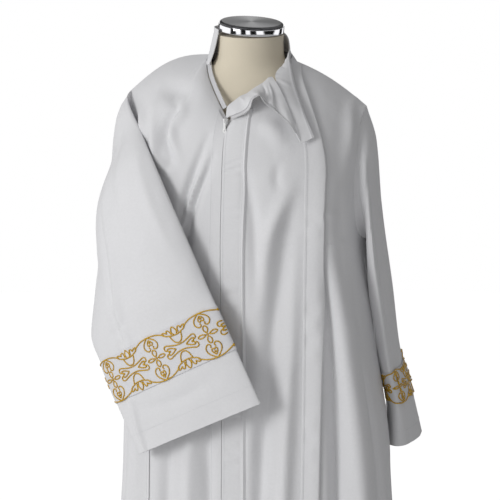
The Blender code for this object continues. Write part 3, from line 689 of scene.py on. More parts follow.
def pleat_rise(side, u, v):
    """The strip rises towards its fold, rolls over and turns back under itself. The wearer's
    right one is pressed flat into the shoulder, where it hardly shows."""
    swell = 0.0046 * smooth(u / 0.85) * smooth(v / 0.1)
    rolled = np.where(u > 0.85, np.cos(np.clip((u - 0.85) / 0.10, 0, 1) * math.pi) * 0.5 + 0.5, 1.0)
    seam = 0.0008 * np.exp(-(((u - 0.06) / 0.04) ** 2))
    field = np.exp(-(((u - 0.40) / 0.30) ** 4))
    high = LAY + 0.0004 + swell * rolled + seam + 0.0018 * puckers(v, 0.16, 0.042, 9) * field
    return high if side > 0 else high * smooth((v - 0.24) / 0.08)


for side, word in ((-1, "right"), (1, "left")):
    inner, fold = pleat_edge(*PLEAT_INNER), pleat_edge(*PLEAT_FOLD)
    share = np.concatenate([np.linspace(0, 0.85, 20), np.linspace(0.86, 1.0, 9)])
    u = np.repeat(share[:, None], 361, 1)
    flat_u = np.where(u <= TURN_UNDER, u / TURN_UNDER, 1.0 - (u - TURN_UNDER) * 4.0)

    def line_at(v, flat_u=flat_u, inner=inner, fold=fold):
        return inner(v) + (fold(v) - inner(v)) * flat_u

    pleat = strip(side, line_at, line_at, lambda _, v, u=u, side=side: pleat_rise(side, u, v), 28, 360,
                  (0.004, 1.0))
    drapes["pleat_" + word] = Drape(pleat, TRUNK_MIDDLE)
    sewn("pleat_strip_" + word, pleat, alb_cloth, TRIM, (0.046, 1.44), ["pleat_" + word])

# ---------------------------------------------------------------- sleeves
# Two wide straight sleeves, each one flat piece sewn into a tube and set into its armhole.
# The right one lies bent across the front on its fold, the left one hangs in long folds.
SLEEVE = {  # share of the length, then the top line, the lower line, inner and outer bulge
    -1: [
        (.00, ((-.232, .006, 1.482), (-.216, .010, 1.246), (-.010, -.060, .0), (-.012, .080, .0))),
        (.07, ((-.226, -.031, 1.471), (-.232, .040, 1.232), (-.014, -.046, .0),
                (-.046, .036, .012))),
        (.17, ((-.180, -.088, 1.432), (-.258, .074, 1.215), (-.018, -.030, .0),
                (-.050, -.008, .014))),
        (.33, ((-.132, -.138, 1.385), (-.273, .064, 1.170), (-.036, -.030, .0),
                (-.065, -.036, .008))),
        (.50, ((-.072, -.167, 1.290), (-.285, .012, 1.120), (-.034, -.036, .004),
                (-.050, -.048, .010))),
        (.65, ((-.018, -.174, 1.185), (-.284, -.070, 1.038), (-.014, -.023, .004),
                (-.022, -.040, .010))),
        (.75, ((.005, -.178, 1.142), (-.248, -.116, .998), (.0, -.006, .0), (-.007, -.024, .001))),
        (.875, ((.044, -.181, 1.067), (-.207, -.138, .932), (.001, .002, .0), (-.005, -.019, .0))),
        (1.00, ((.092, -.184, .973), (-.155, -.158, .847), (.002, .006, .0), (-.004, -.015, .0))),
    ],
    1: [
        (.00, ((.220, .006, 1.487), (.212, .012, 1.246), (.010, -.060, .0), (.010, .080, .0))),
        (.17, ((.235, .014, 1.420), (.227, .030, 1.232), (.002, -.060, .006), (-.024, .072, -.006))),
        (.36, ((.239, .036, 1.290), (.227, .042, 1.200), (.014, -.082, .006), (-.034, .086, -.010))),
        (.56, ((.247, .070, 1.140), (.228, .062, 1.110), (.020, -.088, .004), (-.038, .098, -.010))),
        (.74, ((.260, .092, 1.010), (.232, .082, 1.000), (.026, -.098, .006), (-.044, .106, -.008))),
        (.875, ((.276, .110, .940), (.238, .098, .938), (.028, -.106, .008),
                 (-.044, .113, -.008))),
        (1.00, ((.288, .130, .862), (.228, .106, .854), (.032, -.114, .009), (-.042, .117, -.009))),
    ],
}
ARMHOLE_REACH = 0.17   # share of the sleeve over which the armhole's shape fades out
ARMHOLE_GAP = 0.0005
SLEEVE_LENGTH = 0.60
SLEEVE_GIRTH = {-1: 0.56, 1: 0.42}
SLEEVE_DEPTH = {-1: 1.5, 1: 1.0}
BAND = (0.750, 0.875)  # the band, as shares of the sleeve's length

# creases in metres round the sleeve from its top line, and along it from the armhole
SLEEVE_CREASES = {
    -1: [
        ([(.424, .20), (.412, .30), (.396, .37), (.376, .45)], .0060, (-.0010, -.0034, -.0030)),
        ([(.436, .20), (.424, .30), (.408, .37), (.388, .45)], .0060, (.0010, .0030, .0026)),
        ([(.350, .532), (.339, .565), (.329, .60)], .0055, (.0024, .0032, .0026)),
        ([(.420, .370), (.395, .385), (.372, .392)], .006, (.0005, .0022, .0003)),
        ([(.415, .400), (.392, .415), (.370, .420)], .006, (-.0003, -.0020, -.0003)),
        ([(.365, .547), (.420, .555), (.475, .549)], .008, (-.0006, -.0022, -.0006)),
        ([(.500, .06), (.470, .14), (.455, .24), (.450, .33)], .014, (-.0010, -.0034, .0000)),
        ([(.440, .05), (.420, .13), (.395, .20), (.385, .27)], .013, (.0008, .0036, .0005)),
        ([(.385, .04), (.365, .10), (.345, .17)], .011, (-.0008, -.0034, -.0005)),
        ([(.530, .17), (.516, .26), (.512, .36)], .010, (.0005, .0022, .0002)),
        ([(.350, .25), (.372, .32), (.400, .40)], .015, (.0004, -.0022, .0000)),
        ([(.060, .14), (.080, .30), (.070, .50)], .012, (-.001, -.004, -.003)),
        ([(.150, .12), (.140, .30), (.155, .54)], .014, (-.001, -.005, -.003)),
        ([(.225, .12), (.220, .28), (.230, .50)], .012, (-.001, -.004, -.003)),
    ],
    1: [
        ([(.030, .06), (.034, .25), (.030, .60)], .012, (.000, .0024, .0016)),
        ([(.064, .06), (.066, .25), (.066, .60)], .010, (.000, -.0026, -.0012)),
        ([(.105, .205), (.112, .222), (.118, .245)], .006, (-.0060, -.0090, -.0030)),
        ([(.145, .14), (.158, .26), (.164, .38), (.166, .60)], .028, (.003, .0125, .0030)),
        ([(.225, .08), (.224, .30), (.226, .60)], .009, (-.002, -.0080, -.0070)),
        ([(.250, .06), (.249, .30), (.250, .60)], .009, (.002, .0100, .0090)),
        ([(.274, .06), (.273, .30), (.274, .60)], .009, (-.002, -.0100, -.0100)),
        ([(.300, .06), (.299, .30), (.300, .60)], .009, (.002, .0100, .0110)),
        ([(.326, .06), (.325, .30), (.326, .60)], .009, (-.002, -.0100, -.0110)),
        ([(.352, .06), (.351, .30), (.352, .60)], .009, (.002, .0100, .0110)),
        ([(.378, .06), (.378, .30), (.378, .60)], .009, (-.002, -.0090, -.0090)),
    ],
}


def sleeve_ring(side, turn, s):
    """A ring between a top line and a lower line, bulging on its inner and outer side."""
    top, low, inner, outer = np.moveaxis(through(SLEEVE[side], s), -2, 0)
    around = 2 * math.pi * turn
    bulge = np.where((turn <= 0.5)[..., None], inner, outer)
    return ((top + low) / 2 + (top - low) / 2 * np.cos(around)[..., None]
            + bulge * (np.abs(np.sin(around)) ** 1.15)[..., None])


def armhole_point(side, turn):
    """The armhole's edge: turn 0 is the shoulder tip, 0.5 the underarm, 0.25 the front."""
    share = 2 * np.minimum(turn, 1 - turn)
    front, back = (panel_point(side, b, np.ones_like(turn), share * V_UNDERARM) for b in (False, True))
    return np.where((turn > 0.5)[..., None], back, front)


def sleeve_point(side, turn, s):
    """A point of the sleeve, whose first rings take the armhole's shape."""
    fade = 1 - smooth(s / ARMHOLE_REACH)
    edge = armhole_point(side, turn) + np.array((side * ARMHOLE_GAP, 0, 0))
    return sleeve_ring(side, turn, s) + (edge - sleeve_ring(side, turn, 0 * s)) * fade[..., None]


for side, word in ((-1, "right"), (1, "left")):
    turn, s = mesh_grid(168, 150)
    tube = sleeve_point(side, turn % 1.0, s)
    middle = tube[:-1].mean(axis=0, keepdims=True)
    worn = Drape(tube, middle, closed=True)
    flat_places = np.stack([turn * SLEEVE_GIRTH[side], s * SLEEVE_LENGTH], -1)
    rise = SLEEVE_DEPTH[side] * relief(flat_places, SLEEVE_CREASES[side]) * smooth(s / 0.08)
    rise *= smooth(np.minimum(turn, 1 - turn) / 0.03)
    creased = worn.moved(rise)
    drapes["sleeve_" + word] = Drape(creased, middle, closed=True)
    sewn("sleeve_tube_" + word, creased, alb_cloth, CLOTH, (0.56, 0.62), ["sleeve_" + word],
         closed=True)

# ---------------------------------------------------------------- embroidered bands
# A band of white cloth 82 mm high is sewn round each sleeve above its cuff. Gold cord
# 2.6 mm thick is couched on it: a cross of petals inside four hearts, with leafy stems.
CORD = 0.0013
CORD_STEP = 1.7               # millimetres between two points of a cord
REPEAT = 0.115                # most that one repeat is eased to
CHART_PITCH = 93              # millimetres of the chart from cross to cross
CHART_MIDDLE = 46.5
BAND_WIDTH = 82


def around_band(side, s):
    """The length round the sleeve at each turn, on the band's middle."""
    turn = np.linspace(0, 1, 721)
    line = drapes["sleeve_right" if side < 0 else "sleeve_left"].at(turn, np.full_like(turn, s))
    steps = np.linalg.norm(np.diff(line, axis=0), axis=-1)
    return turn, np.concatenate([[0.0], np.cumsum(steps)])


def mirrored(line, x=1, y=1):
    """A line of the chart turned over sideways, up and down, or both."""
    return [(x * a, y * b) for a, b in line]


# the chart, in millimetres round the sleeve and up from the middle of a cross
PETAL = [(0, 3), (3.2, 8), (3.0, 13), (0, 16), (-3.0, 13), (-3.2, 8)]
SIDE_PETAL = [(3, 0), (8, 2.7), (13, 2.5), (16, 0), (13, -2.5), (8, -2.7)]
KNOT = [(1.2, 0), (0, 1.2), (-1.2, 0), (0, -1.2)]
HEART = [(0, 41), (4, 38), (10, 32), (12.3, 25), (10.5, 19), (6.5, 16.5), (3.2, 19), (4.2, 23)]
INNER_HEART = [(0, 36), (3.2, 32), (4.5, 28), (2.8, 25), (0, 27.5)]
STEM = [(24, 3.6), (20.6, 3.4), (18.6, 6.4), (19.2, 10.4), (22.6, 12.2), (27, 10.8), (33, 8.4),
        (40, 6.2), (46.5, 5.5)]
SIDE_HEART = [(37, 0), (31, 4.0), (26, 6.0), (22.6, 5.0), (24.6, 0)]
# these are counted from the middle between two crosses
CUP = [(-10.5, 26), (-9, 20), (-7, 14), (-3.5, 9.8), (0, 8.8), (3.5, 9.8), (7, 14), (9, 20), (10.5, 26)]
RIM = [(-10.5, 25.5), (-5, 24.2), (0, 24), (5, 24.2), (10.5, 25.5)]
LEAF = [(-2.6, 25.5), (-4.4, 30), (-3.4, 35), (0, 39.5), (3.4, 35), (4.4, 30), (2.6, 25.5)]
SIDE_LEAF = [(6.2, 26.5), (6.6, 31.5), (9.4, 36.5), (12.2, 35.2), (12.4, 31.8), (15.6, 34.6),
             (19.4, 35.4), (19.6, 31.6), (15.5, 28), (10, 26)]
VINE = [(46.5, 41), (36, 40), (27, 37), (17.5, 31.5)]
DOTS = [(0, 31), (0, -31), (26, 0.2), (-26, 0.2), (41.0, 30), (52.0, 30), (41.0, -30), (52.0, -30)]
DOT = 1.1

MOTIF = []   # each cord: whether it is a closed loop, and its corners
for up in (1, -1):
    MOTIF += [(True, mirrored(PETAL, 1, up)), (True, mirrored(SIDE_PETAL, up, 1))]
    for way in (1, -1):
        MOTIF += [(False, mirrored(line, way, up)) for line in (HEART, INNER_HEART, STEM, SIDE_HEART)]
        MOTIF += [(False, [(CHART_MIDDLE + x, y) for x, y in mirrored(line, way, up)])
                  for line in (SIDE_LEAF, VINE)]
    MOTIF += [(False, [(CHART_MIDDLE + x, y) for x, y in mirrored(line, 1, up)])
              for line in (CUP, RIM, LEAF)]
MOTIF += [(True, KNOT)]
MOTIF += [(True, [(x + DOT, y), (x, y + DOT), (x - DOT, y), (x, y - DOT)]) for x, y in DOTS]


def gold_thread(name):
    """Cord wound with gilt thread: fine slanting windings as bumps, with painted highlight and shade along
    them in the colour.
    """
    surface, tree, shader = finish(name, Base_Color=linear("#C9991C"), Metallic=0.20, Roughness=0.36)
    place = add(tree, "TexCoord")
    turned = add(tree, "Mapping", {"Vector": place.outputs["Object"], "Rotation": (0.5, 0.4, 0.7)})
    winding = add(tree, "TexWave", {"Vector": turned.outputs[0], "Scale": 260.0, "Distortion": 1.5,
                                    "Detail": 1.0})
    bump = add(tree, "Bump", {"Height": winding.outputs["Fac"], "Distance": 0.00015, "Strength": 0.6})
    tree.links.new(bump.outputs[0], shader.inputs["Normal"])
    # painted shade in the grooves between windings and painted highlight on their crests, laid into the base
    # colour
    painted_shade_and_highlight = ramp(tree, winding.outputs["Fac"], (0.10, linear("#8C6805")), (0.75, linear("#E2B424")))
    tree.links.new(painted_shade_and_highlight, shader.inputs["Base Color"])
    return surface


def row_of(curve, points, closed):
    """Adds a row of points to a curve, joined by straight lengths."""
    spline = curve.splines.new("POLY")
    spline.points.add(len(points) - 1)
    spline.points.foreach_set("co", np.concatenate([points, np.ones((len(points), 1))], 1).ravel())
    spline.use_cyclic_u = closed


def meshed(curve):
    """A curve's surface as a bmesh."""
    guide = bpy.data.objects.new("guide", curve)
    bpy.context.scene.collection.objects.link(guide)
    bpy.context.view_layer.update()
    mesh = bpy.data.meshes.new_from_object(guide.evaluated_get(bpy.context.evaluated_depsgraph_get()))
    bpy.data.objects.remove(guide, do_unlink=True)
    shape = bmesh.new()
    shape.from_mesh(mesh)
    bpy.data.meshes.remove(mesh)
    return shape


def cords(name, lines, radius, surface, sides=1, closed=()):
    """Many cords as one mesh. Each line is a row of points, and some are closed."""
    curve = bpy.data.curves.new(name, "CURVE")
    curve.dimensions = "3D"
    curve.bevel_depth = radius
    curve.bevel_resolution = sides
    curve.use_fill_caps = True
    for k, line in enumerate(lines):
        row_of(curve, line, k in closed)
    shape = meshed(curve)
    bmesh.ops.recalc_face_normals(shape, faces=shape.faces)
    show(name, shape, surface, [], sharp=70)


band_cloth = plain_weave("white embroidered band cloth", "#DDDDE0", thread_mm=1.2, height_mm=0.12,
                         rough=0.80)
gold = gold_thread("gilt couching cord")
FIRST_CROSS = {-1: -0.035, 1: 0.093}   # metres round the sleeve from its top line

for side, word in ((-1, "right"), (1, "left")):
    sleeve = drapes["sleeve_" + word]
    turn, s = mesh_grid(216, 18, v_span=BAND)
    edge = np.minimum(np.abs(s - BAND[0]), np.abs(s - BAND[1])) / (BAND[1] - BAND[0])
    rise = CLOTH / 2 + TRIM / 2 + 0.0005 + 0.0005 * np.exp(-((edge / 0.05) ** 2))
    ribbon = sleeve.at(turn, s, rise)
    middle = ribbon[:-1].mean(axis=0, keepdims=True)
    ribbon[-1] = ribbon[0]
    drapes["band_" + word] = Drape(ribbon, middle, closed=True)
    turns, lengths = around_band(side, sum(BAND) / 2)
    girth = lengths[-1]
    sewn("band_cloth_" + word, ribbon, band_cloth, TRIM, (girth, 0.082), ["band_" + word],
         closed=True)
    repeats = round(girth / REPEAT)
    lines, loops = [], []
    for k in range(repeats):
        for is_loop, chart in MOTIF:
            ends = chart + chart[:2] if is_loop else chart
            count = len(ends) - 1
            span = sum(math.dist(a, b) for a, b in zip(ends, ends[1:]))
            last = (count - 1) / count if is_loop else 1.0
            fine = through([(i / count, p) for i, p in enumerate(ends)],
                           np.linspace(0, last, max(int(span / CORD_STEP), 6)))
            if is_loop:
                loops.append(len(lines))
                fine = fine[:-1]
            reach = FIRST_CROSS[side] + (k + fine[:, 0] / CHART_PITCH) * girth / repeats
            where = np.interp(reach % girth, lengths, turns)
            high = 0.5 - fine[:, 1] / BAND_WIDTH
            lines.append(drapes["band_" + word].at(where, high, TRIM / 2 + 0.0003))
    cords("embroidery_" + word, lines, CORD, gold, closed=set(loops))

# ---------------------------------------------------------------- collar
# A stand collar of the same cloth, folded double and turned, 37 mm high. It stands round
# the neck and has fallen open on the wearer's left, where its inner side shows.
COLLAR = [  # share of its length, then its seam to the neck and its free edge
    (.00, ((-.0610, -.0485, 1.5670), (-.0445, -.0440, 1.6140))),
    (.05, ((-.0765, -.0260, 1.5640), (-.0620, -.0210, 1.6150))),
    (.12, ((-.0800, .012, 1.5700), (-.0690, .012, 1.6140))),
    (.22, ((-.0560, .053, 1.5790), (-.0510, .050, 1.6160))),
    (.34, ((.0000, .069, 1.5800), (.0000, .066, 1.6130))),
    (.46, ((.0540, .053, 1.5790), (.0460, .050, 1.6000))),
    (.58, ((.0750, .013, 1.5690), (.0700, .012, 1.5810))),
    (.68, ((.0770, -.024, 1.5600), (.0810, -.020, 1.5700))),
    (.79, ((.0730, -.066, 1.5390), (.1080, -.061, 1.5270))),
    (.90, ((.1080, -.101, 1.4980), (.1380, -.093, 1.4830))),
    (1.00, ((.1400, -.117, 1.4310), (.1610, -.104, 1.4420))),
]
COLLAR_CREASES = [  # metres along it and up from its seam
    ([(.300, .002), (.304, .016), (.302, .030)], .0035, (.0004, .0016, .0004)),
    ([(.318, .000), (.322, .014), (.320, .026)], .0030, (-.0004, -.0014, -.0002)),
    ([(.352, .004), (.356, .018), (.352, .032)], .0040, (.0002, .0014, .0002)),
    ([(.020, .004), (.024, .020), (.020, .034)], .0050, (.0002, -.0010, .0002)),
]
COLLAR_LENGTH, COLLAR_WIDTH = 0.44, 0.040
SEAM_DROP = 0.016   # how far the collar's seam reaches down inside the neckline

u, v = mesh_grid(200, 18)
seam, free = np.moveaxis(through(COLLAR, u), -2, 0)
seam = seam - np.array((0, 0, SEAM_DROP)) * (1 - smooth((u - 0.62) / 0.08))[..., None]
upright = Drape(mixed(seam, free, v), TRUNK_MIDDLE)
rolled = 0.0022 * np.sin(math.pi * v) * smooth((0.95 - u) / 0.1)
rolled += relief(np.stack([u * COLLAR_LENGTH, v * COLLAR_WIDTH], -1), COLLAR_CREASES)
rolled += 0.0006 * np.exp(-(((v - 0.88) / 0.05) ** 2))
rolled += 0.0005 * np.sin(u * 260) * np.exp(-((v / 0.12) ** 2))
standing = upright.moved(rolled)
drapes["collar"] = Drape(standing, TRUNK_MIDDLE)
sewn("stand_collar", standing, alb_cloth, CLOTH, (0.44, 0.040), ["collar"])

# ---------------------------------------------------------------- opened front edge
# The wearer's left front edge is turned open below the collar, so its inner side shows.
# It rolls away from the neck, and half of the zip runs along its wavy free edge.
FACING = [  # share of its length, then its roll line, a point halfway and its zip edge
    (.00, ((-.004, -.107, 1.470), (-.001, -.111, 1.469), (.002, -.114, 1.468))),
    (.12, ((-.002, -.104, 1.487), (.003, -.111, 1.480), (.009, -.117, 1.473))),
    (.24, ((.010, -.100, 1.498), (.020, -.112, 1.489), (.029, -.120, 1.481))),
    (.36, ((.020, -.096, 1.506), (.034, -.112, 1.499), (.045, -.122, 1.495))),
    (.45, ((.029, -.092, 1.510), (.042, -.111, 1.509), (.053, -.125, 1.509))),
    (.52, ((.038, -.089, 1.517), (.050, -.110, 1.516), (.061, -.125, 1.515))),
    (.60, ((.046, -.085, 1.523), (.060, -.108, 1.517), (.068, -.124, 1.513))),
    (.70, ((.053, -.078, 1.528), (.070, -.104, 1.517), (.080, -.121, 1.503))),
    (.82, ((.058, -.072, 1.533), (.078, -.101, 1.517), (.096, -.119, 1.490))),
    (.92, ((.061, -.068, 1.537), (.091, -.100, 1.512), (.118, -.118, 1.471))),
    (1.00, ((.066, -.064, 1.538), (.104, -.100, 1.506), (.139, -.117, 1.437))),
]


def facing_point(u, v):
    """A point of the opened edge, on a curve through its roll line, its middle and its edge."""
    roll, middle, edge = np.moveaxis(through(FACING, u), -2, 0)
    bend = 2 * middle - (roll + edge) / 2
    return mixed(mixed(roll, bend, v), mixed(bend, edge, v), v)


u, v = mesh_grid(150, 40)
opened = Drape(facing_point(u, v), TRUNK_MIDDLE)
FACING_CREASES = [  # metres along it and out from its roll line
    ([(.205, .012), (.200, .030), (.190, .048)], .006, (.0005, .0024, .0006)),
    ([(.165, .008), (.168, .024), (.160, .040)], .006, (-.0004, -.0024, -.0004)),
    ([(.080, .006), (.085, .018), (.080, .030)], .005, (.0003, .0016, .0003)),
]
FACING_LENGTH, FACING_WIDTH = 0.24, 0.055
ripple = relief(np.stack([u * FACING_LENGTH, v * FACING_WIDTH], -1), FACING_CREASES)
ripple += 0.0012 * np.sin(u * 34 + 0.6) * smooth(v)
turned_open = opened.moved(ripple)
drapes["facing"] = Drape(turned_open, TRUNK_MIDDLE)
sewn("opened_edge", turned_open, alb_cloth, CLOTH, (0.24, 0.060), ["facing_left"])

# ---------------------------------------------------------------- zip
# A white nylon coil zip, machine sewn on woven tapes. Its slider is cast and enamelled
# white. The pull tab hangs from the slider's arch, on which it turns.
tape_cloth = plain_weave("white woven zip tape", "#D2D2D4", thread_mm=0.9, height_mm=0.16, rough=0.72)
nylon, tree, shader = finish("white nylon coil", Base_Color=linear("#E9E9EA"), Roughness=0.38)
tree.links.new(grain(tree, 0.6, 0.012).outputs[0], shader.inputs["Normal"])
enamel, tree, shader = finish("white enamelled zinc", Base_Color=linear("#EDEDED"), Roughness=0.26)
tree.links.new(grain(tree, 1.4, 0.010).outputs[0], shader.inputs["Normal"])
TAPE = 0.0008
COIL_WIRE = 0.00038


def coil(line, out, radius=0.0009, pitch=0.0016):
    """Teeth of a coil zip, wound along a line with out as the outward direction."""
    steps = np.concatenate([[0.0], np.cumsum(np.linalg.norm(np.diff(line, axis=0), axis=-1))])
    reach = np.arange(0, steps[-1], pitch / 8)
    here = np.stack([np.interp(reach, steps, line[:, i]) for i in range(3)], -1)
    way = np.gradient(here, axis=0)
    way /= np.linalg.norm(way, axis=-1, keepdims=True)
    side_way = np.stack([np.interp(reach, steps, out[:, i]) for i in range(3)], -1)
    side_way -= way * np.sum(side_way * way, axis=-1, keepdims=True)
    side_way /= np.linalg.norm(side_way, axis=-1, keepdims=True)
    up = np.cross(way, side_way)
    angle = 2 * math.pi * reach / pitch
    return here + radius * (1.25 * side_way * np.cos(angle)[:, None] + 0.8 * up * np.sin(angle)[:, None])


u, v = mesh_grid(6, 160)
along = 0.10 + 0.86 * v
edge = drapes["facing"].at(along, np.ones_like(v))
inward = drapes["facing"].at(along, np.full_like(v, 0.94))
outward = (edge - inward) / np.linalg.norm(edge - inward, axis=-1, keepdims=True)
left_tape = edge + outward * (0.0010 + 0.0056 * u)[..., None]
sewn("zip_tape_strip_left", left_tape, tape_cloth, TAPE, (0.0102, 0.185), ["zip_tape_left"])
left_teeth = coil(left_tape[-1], outward[-1])

reach = NECK_U * (0.12 + 0.80 * v)
right_edge = top_point(-1, False, reach)
right_tape = right_edge + np.stack([0.0022 + 0.0070 * u, -0.0015 + 0 * u, 0.0022 + 0.0040 * u], -1)
sewn("zip_tape_strip_right", right_tape, tape_cloth, TAPE, (0.0102, 0.105), ["zip_tape_right"])
right_teeth = coil(right_tape[-1], right_tape[-1] - right_tape[0])
cords("zip_coils", [left_teeth, right_teeth], COIL_WIRE, nylon, sides=0)

SLIDER = Vector((-0.001, -0.1165, 1.4615))
PIVOT = Vector((-0.001, -0.1223, 1.4645))
PLATE_SIZE = (0.0090, 0.0014, 0.0110)
CORE_SIZE = (0.0026, 0.0030, 0.0096)
PLATE_GAP = 0.0014
PLATE_TAPER = 0.72
slider_shape = bmesh.new()
for y in (-PLATE_GAP, PLATE_GAP):
    plate = bmesh.ops.create_cube(slider_shape, size=1.0)["verts"]
    bmesh.ops.scale(slider_shape, vec=PLATE_SIZE, verts=plate)
    for vert in plate:
        if vert.co.z < 0:
            vert.co.x *= PLATE_TAPER
    bmesh.ops.translate(slider_shape, vec=(0, y, 0), verts=plate)
core = bmesh.ops.create_cube(slider_shape, size=1.0)["verts"]
bmesh.ops.scale(slider_shape, vec=CORE_SIZE, verts=core)
bmesh.ops.bevel(slider_shape, geom=list(slider_shape.edges), offset=0.00045, segments=3, profile=0.5,
                affect="EDGES", material=-1)
bmesh.ops.translate(slider_shape, vec=SLIDER, verts=slider_shape.verts)
show("zip_slider_body", slider_shape, enamel, ["zip_slider"], sharp=35)
ARCH_WIRE = 0.0007
bow = through([(0, (-0.0014, 0.0050)), (0.28, (-0.0070, 0.0050)), (0.5, (-0.0083, 0.0030)),
               (0.72, (-0.0070, 0.0008)), (1, (-0.0014, -0.0012))], np.linspace(0, 1, 26))
arch = np.stack([np.zeros(26), bow[:, 0], bow[:, 1]], -1) + np.array(SLIDER)
cords("zip_slider_arch", [arch], ARCH_WIRE, enamel, sides=4)

tab_curve = bpy.data.curves.new("tab", "CURVE")
tab_curve.dimensions = "2D"
tab_curve.fill_mode = "BOTH"
tab_curve.extrude = 0.00045
tab_curve.bevel_depth = 0.00025
tab_curve.bevel_resolution = 2
RING_DROP = 0.0185        # from the pivot to the middle of the ring at the tab's end
RING_OUTER, RING_INNER = 0.0033, 0.0015
RING_START = 0.75         # where the ring leaves the tab's neck, in radians


def arc(radius, angles):
    """Points of the ring at the tab's end."""
    return [(radius * math.sin(a), -RING_DROP + radius * math.cos(a), 0) for a in angles]


outline = [(-0.0018, 0.0006, 0), (0.0018, 0.0006, 0), (0.0021, -0.0010, 0), (0.0017, -0.0060, 0),
           (0.0018, -0.0130, 0)]
outline += arc(RING_OUTER, np.linspace(RING_START, 2 * math.pi - RING_START, 28))
outline += [(-0.0018, -0.0130, 0), (-0.0017, -0.0060, 0), (-0.0021, -0.0010, 0)]
ring_hole = arc(RING_INNER, np.linspace(0, 2 * math.pi, 25)[:-1])
eye = [(-0.0010, -0.0009, 0), (0.0010, -0.0009, 0), (0.0010, -0.0044, 0), (-0.0010, -0.0044, 0)]
for ring in (outline, ring_hole, eye):
    row_of(tab_curve, ring, True)
tab_shape = meshed(tab_curve)
bmesh.ops.remove_doubles(tab_shape, verts=tab_shape.verts, dist=1e-6)
bmesh.ops.transform(tab_shape, matrix=Matrix.Translation(PIVOT) @ Matrix.Rotation(math.radians(90), 4, "X"),
                    verts=tab_shape.verts)
bmesh.ops.recalc_face_normals(tab_shape, faces=tab_shape.faces)
show("zip_tab", tab_shape, enamel, ["zip_pull_tab"], body="pull_tab", sharp=35)

# ---------------------------------------------------------------- stitching
# Lockstitch in white polyester thread: stitches 2.5 mm long with small gaps, along the
# plackets, pleats, cuffs and hem. The thread sinks a little into the cloth.
STITCH, STITCH_GAP, THREAD = 0.0025, 0.0009, 0.00034
SAMPLES = 900
thread, tree, shader = finish("white polyester thread", Base_Color=linear("#D9D9DC"), Roughness=0.55)
tree.links.new(grain(tree, 0.4, 0.02).outputs[0], shader.inputs["Normal"])


def stitched(name, lines):
    """Rows of stitches along lines of points."""
    dashes = []
    for line in lines:
        steps = np.concatenate([[0.0], np.cumsum(np.linalg.norm(np.diff(line, axis=0), axis=-1))])
        for start in np.arange(0.0, steps[-1] - STITCH, STITCH + STITCH_GAP):
            reach = np.array((start, start + STITCH))
            dashes.append(np.stack([np.interp(reach, steps, line[:, i]) for i in range(3)], -1))
    cords(name, dashes, THREAD, thread, sides=0)


# each seam's piece, with its share of the piece's width or of its length
LONG_SEAMS = [("placket_left", 0.10), ("placket_left", 0.84), ("placket_right", 0.85), ("pleat_left", 0.10),
              ("pleat_right", 0.10)]
CROSS_SEAMS = [("sleeve_right", 0.958), ("sleeve_left", 0.958), ("front_right", 0.984),
               ("front_left", 0.984), ("back", 0.984), ("collar", 0.88)]
rows = np.linspace(0.0, 1.0, SAMPLES)
stitched("front_stitching", [drapes[piece].at(np.full(SAMPLES, share), rows, TRIM / 2 + 0.0001)
                             for piece, share in LONG_SEAMS])
stitched("hem_stitching", [drapes[piece].at(rows, np.full(SAMPLES, share), CLOTH / 2 + 0.0001)
                           for piece, share in CROSS_SEAMS])

# ---------------------------------------------------------------- floor, light and camera
# A plain pale floor, one broad soft light to the left of the camera and an even studio.
floor_shape = bmesh.new()
bmesh.ops.create_circle(floor_shape, cap_ends=True, segments=96, radius=5.0)
floor_mesh = bpy.data.meshes.new("floor")
floor_shape.to_mesh(floor_mesh)
floor_shape.free()
floor = bpy.data.objects.new("floor", floor_mesh)
floor.location.z = -0.0005
bpy.context.scene.collection.objects.link(floor)
pale, tree, shader = finish("pale studio floor", Base_Color=linear("#F4F4F4"), Roughness=0.9)
seen = add(tree, "LightPath")
glow = add(tree, "Emission", {"Color": (1, 1, 1, 1), "Strength": 1.32})
part_glow = add(tree, "Math", {0: seen.outputs["Is Camera Ray"], 1: 0.70}, operation="MULTIPLY")
mixed_floor = add(tree, "MixShader", {"Fac": part_glow.outputs[0], 1: shader.outputs[0], 2: glow.outputs[0]})
tree.links.new(mixed_floor.outputs[0], tree.nodes["Material Output"].inputs["Surface"])
floor.data.materials.append(pale)

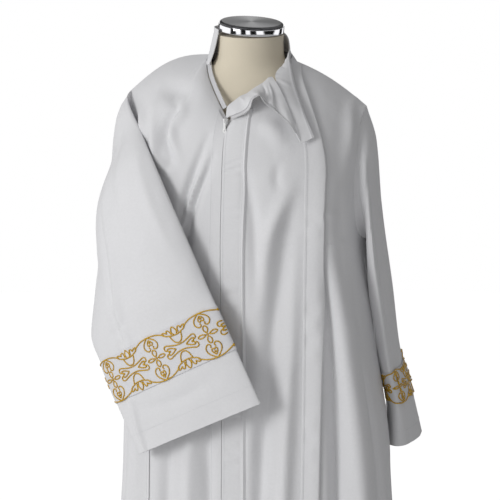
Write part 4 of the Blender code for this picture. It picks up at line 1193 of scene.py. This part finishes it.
AZIMUTH, ELEVATION = math.radians(22), math.radians(12)
ahead = Vector((-math.sin(AZIMUTH) * math.cos(ELEVATION), math.cos(AZIMUTH) * math.cos(ELEVATION),
                -math.sin(ELEVATION)))
across = Vector((math.cos(AZIMUTH), math.sin(AZIMUTH), 0))
upward = across.cross(ahead)
DISTANCE, FRAME_WIDTH = 5.0, 0.893
ACROSS, UPWARD, AHEAD = -0.0018, 1.181, -0.35   # the aim, along the camera's own axes
aim = across * ACROSS + upward * UPWARD + ahead * AHEAD
camera = bpy.data.objects.new("camera", bpy.data.cameras.new("camera"))
bpy.context.scene.collection.objects.link(camera)
camera.location = aim - ahead * DISTANCE
camera.rotation_euler = Matrix((across, upward, -ahead)).transposed().to_euler()
SENSOR = 36.0
camera.data.sensor_width = SENSOR
camera.data.lens = SENSOR * DISTANCE / FRAME_WIDTH
bpy.context.scene.camera = camera


def soft_light(name, place, target, size, power):
    """A rectangular light that faces its target."""
    lamp = bpy.data.objects.new(name, bpy.data.lights.new(name, "AREA"))
    lamp.data.shape = "RECTANGLE"
    lamp.data.size, lamp.data.size_y = size
    lamp.data.energy = power
    lamp.location = place
    lamp.rotation_euler = (Vector(place) - Vector(target)).to_track_quat("Z", "Y").to_euler()
    bpy.context.scene.collection.objects.link(lamp)


soft_light("key", (-1.7, -2.8, 1.95), (0, 0, 1.25), (1.3, 1.3), 46)

world = bpy.data.worlds.new("studio")
bpy.context.scene.world = world
world.use_nodes = True
tree = world.node_tree
background = tree.nodes["Background"]
path = add(tree, "LightPath")
way = add(tree, "TexCoord")
panels = add(tree, "TexWave", {"Vector": way.outputs["Generated"], "Scale": 0.55, "Distortion": 1.0,
                               "Phase Offset": 1.0}, bands_direction="X")
studio = ramp(tree, panels.outputs["Fac"], (0.42, (0.01, 0.01, 0.01, 1)), (0.72, (1.2, 1.2, 1.2, 1)))
towards = add(tree, "VectorMath", {0: way.outputs["Generated"], 1: (-0.70, -0.66, -0.26)},
              operation="DOT_PRODUCT")
lit = add(tree, "MapRange", {"Value": towards.outputs["Value"], "From Min": -0.7, "From Max": 1.0,
                             "To Min": 0.26, "To Max": 0.60})
plain = add(tree, "CombineColor", {"Red": lit.outputs[0], "Green": lit.outputs[0], "Blue": lit.outputs[0]})
glossy = add(tree, "Mix", {"Factor": path.outputs["Is Glossy Ray"], "A": plain.outputs[0],
                           "B": studio}, data_type="RGBA")
white = add(tree, "Mix", {"Factor": path.outputs["Is Camera Ray"], "A": glossy.outputs["Result"],
                          "B": (1, 1, 1, 1)}, data_type="RGBA")
tree.links.new(white.outputs["Result"], background.inputs["Color"])
bpy.context.scene.view_settings.view_transform = "Standard"
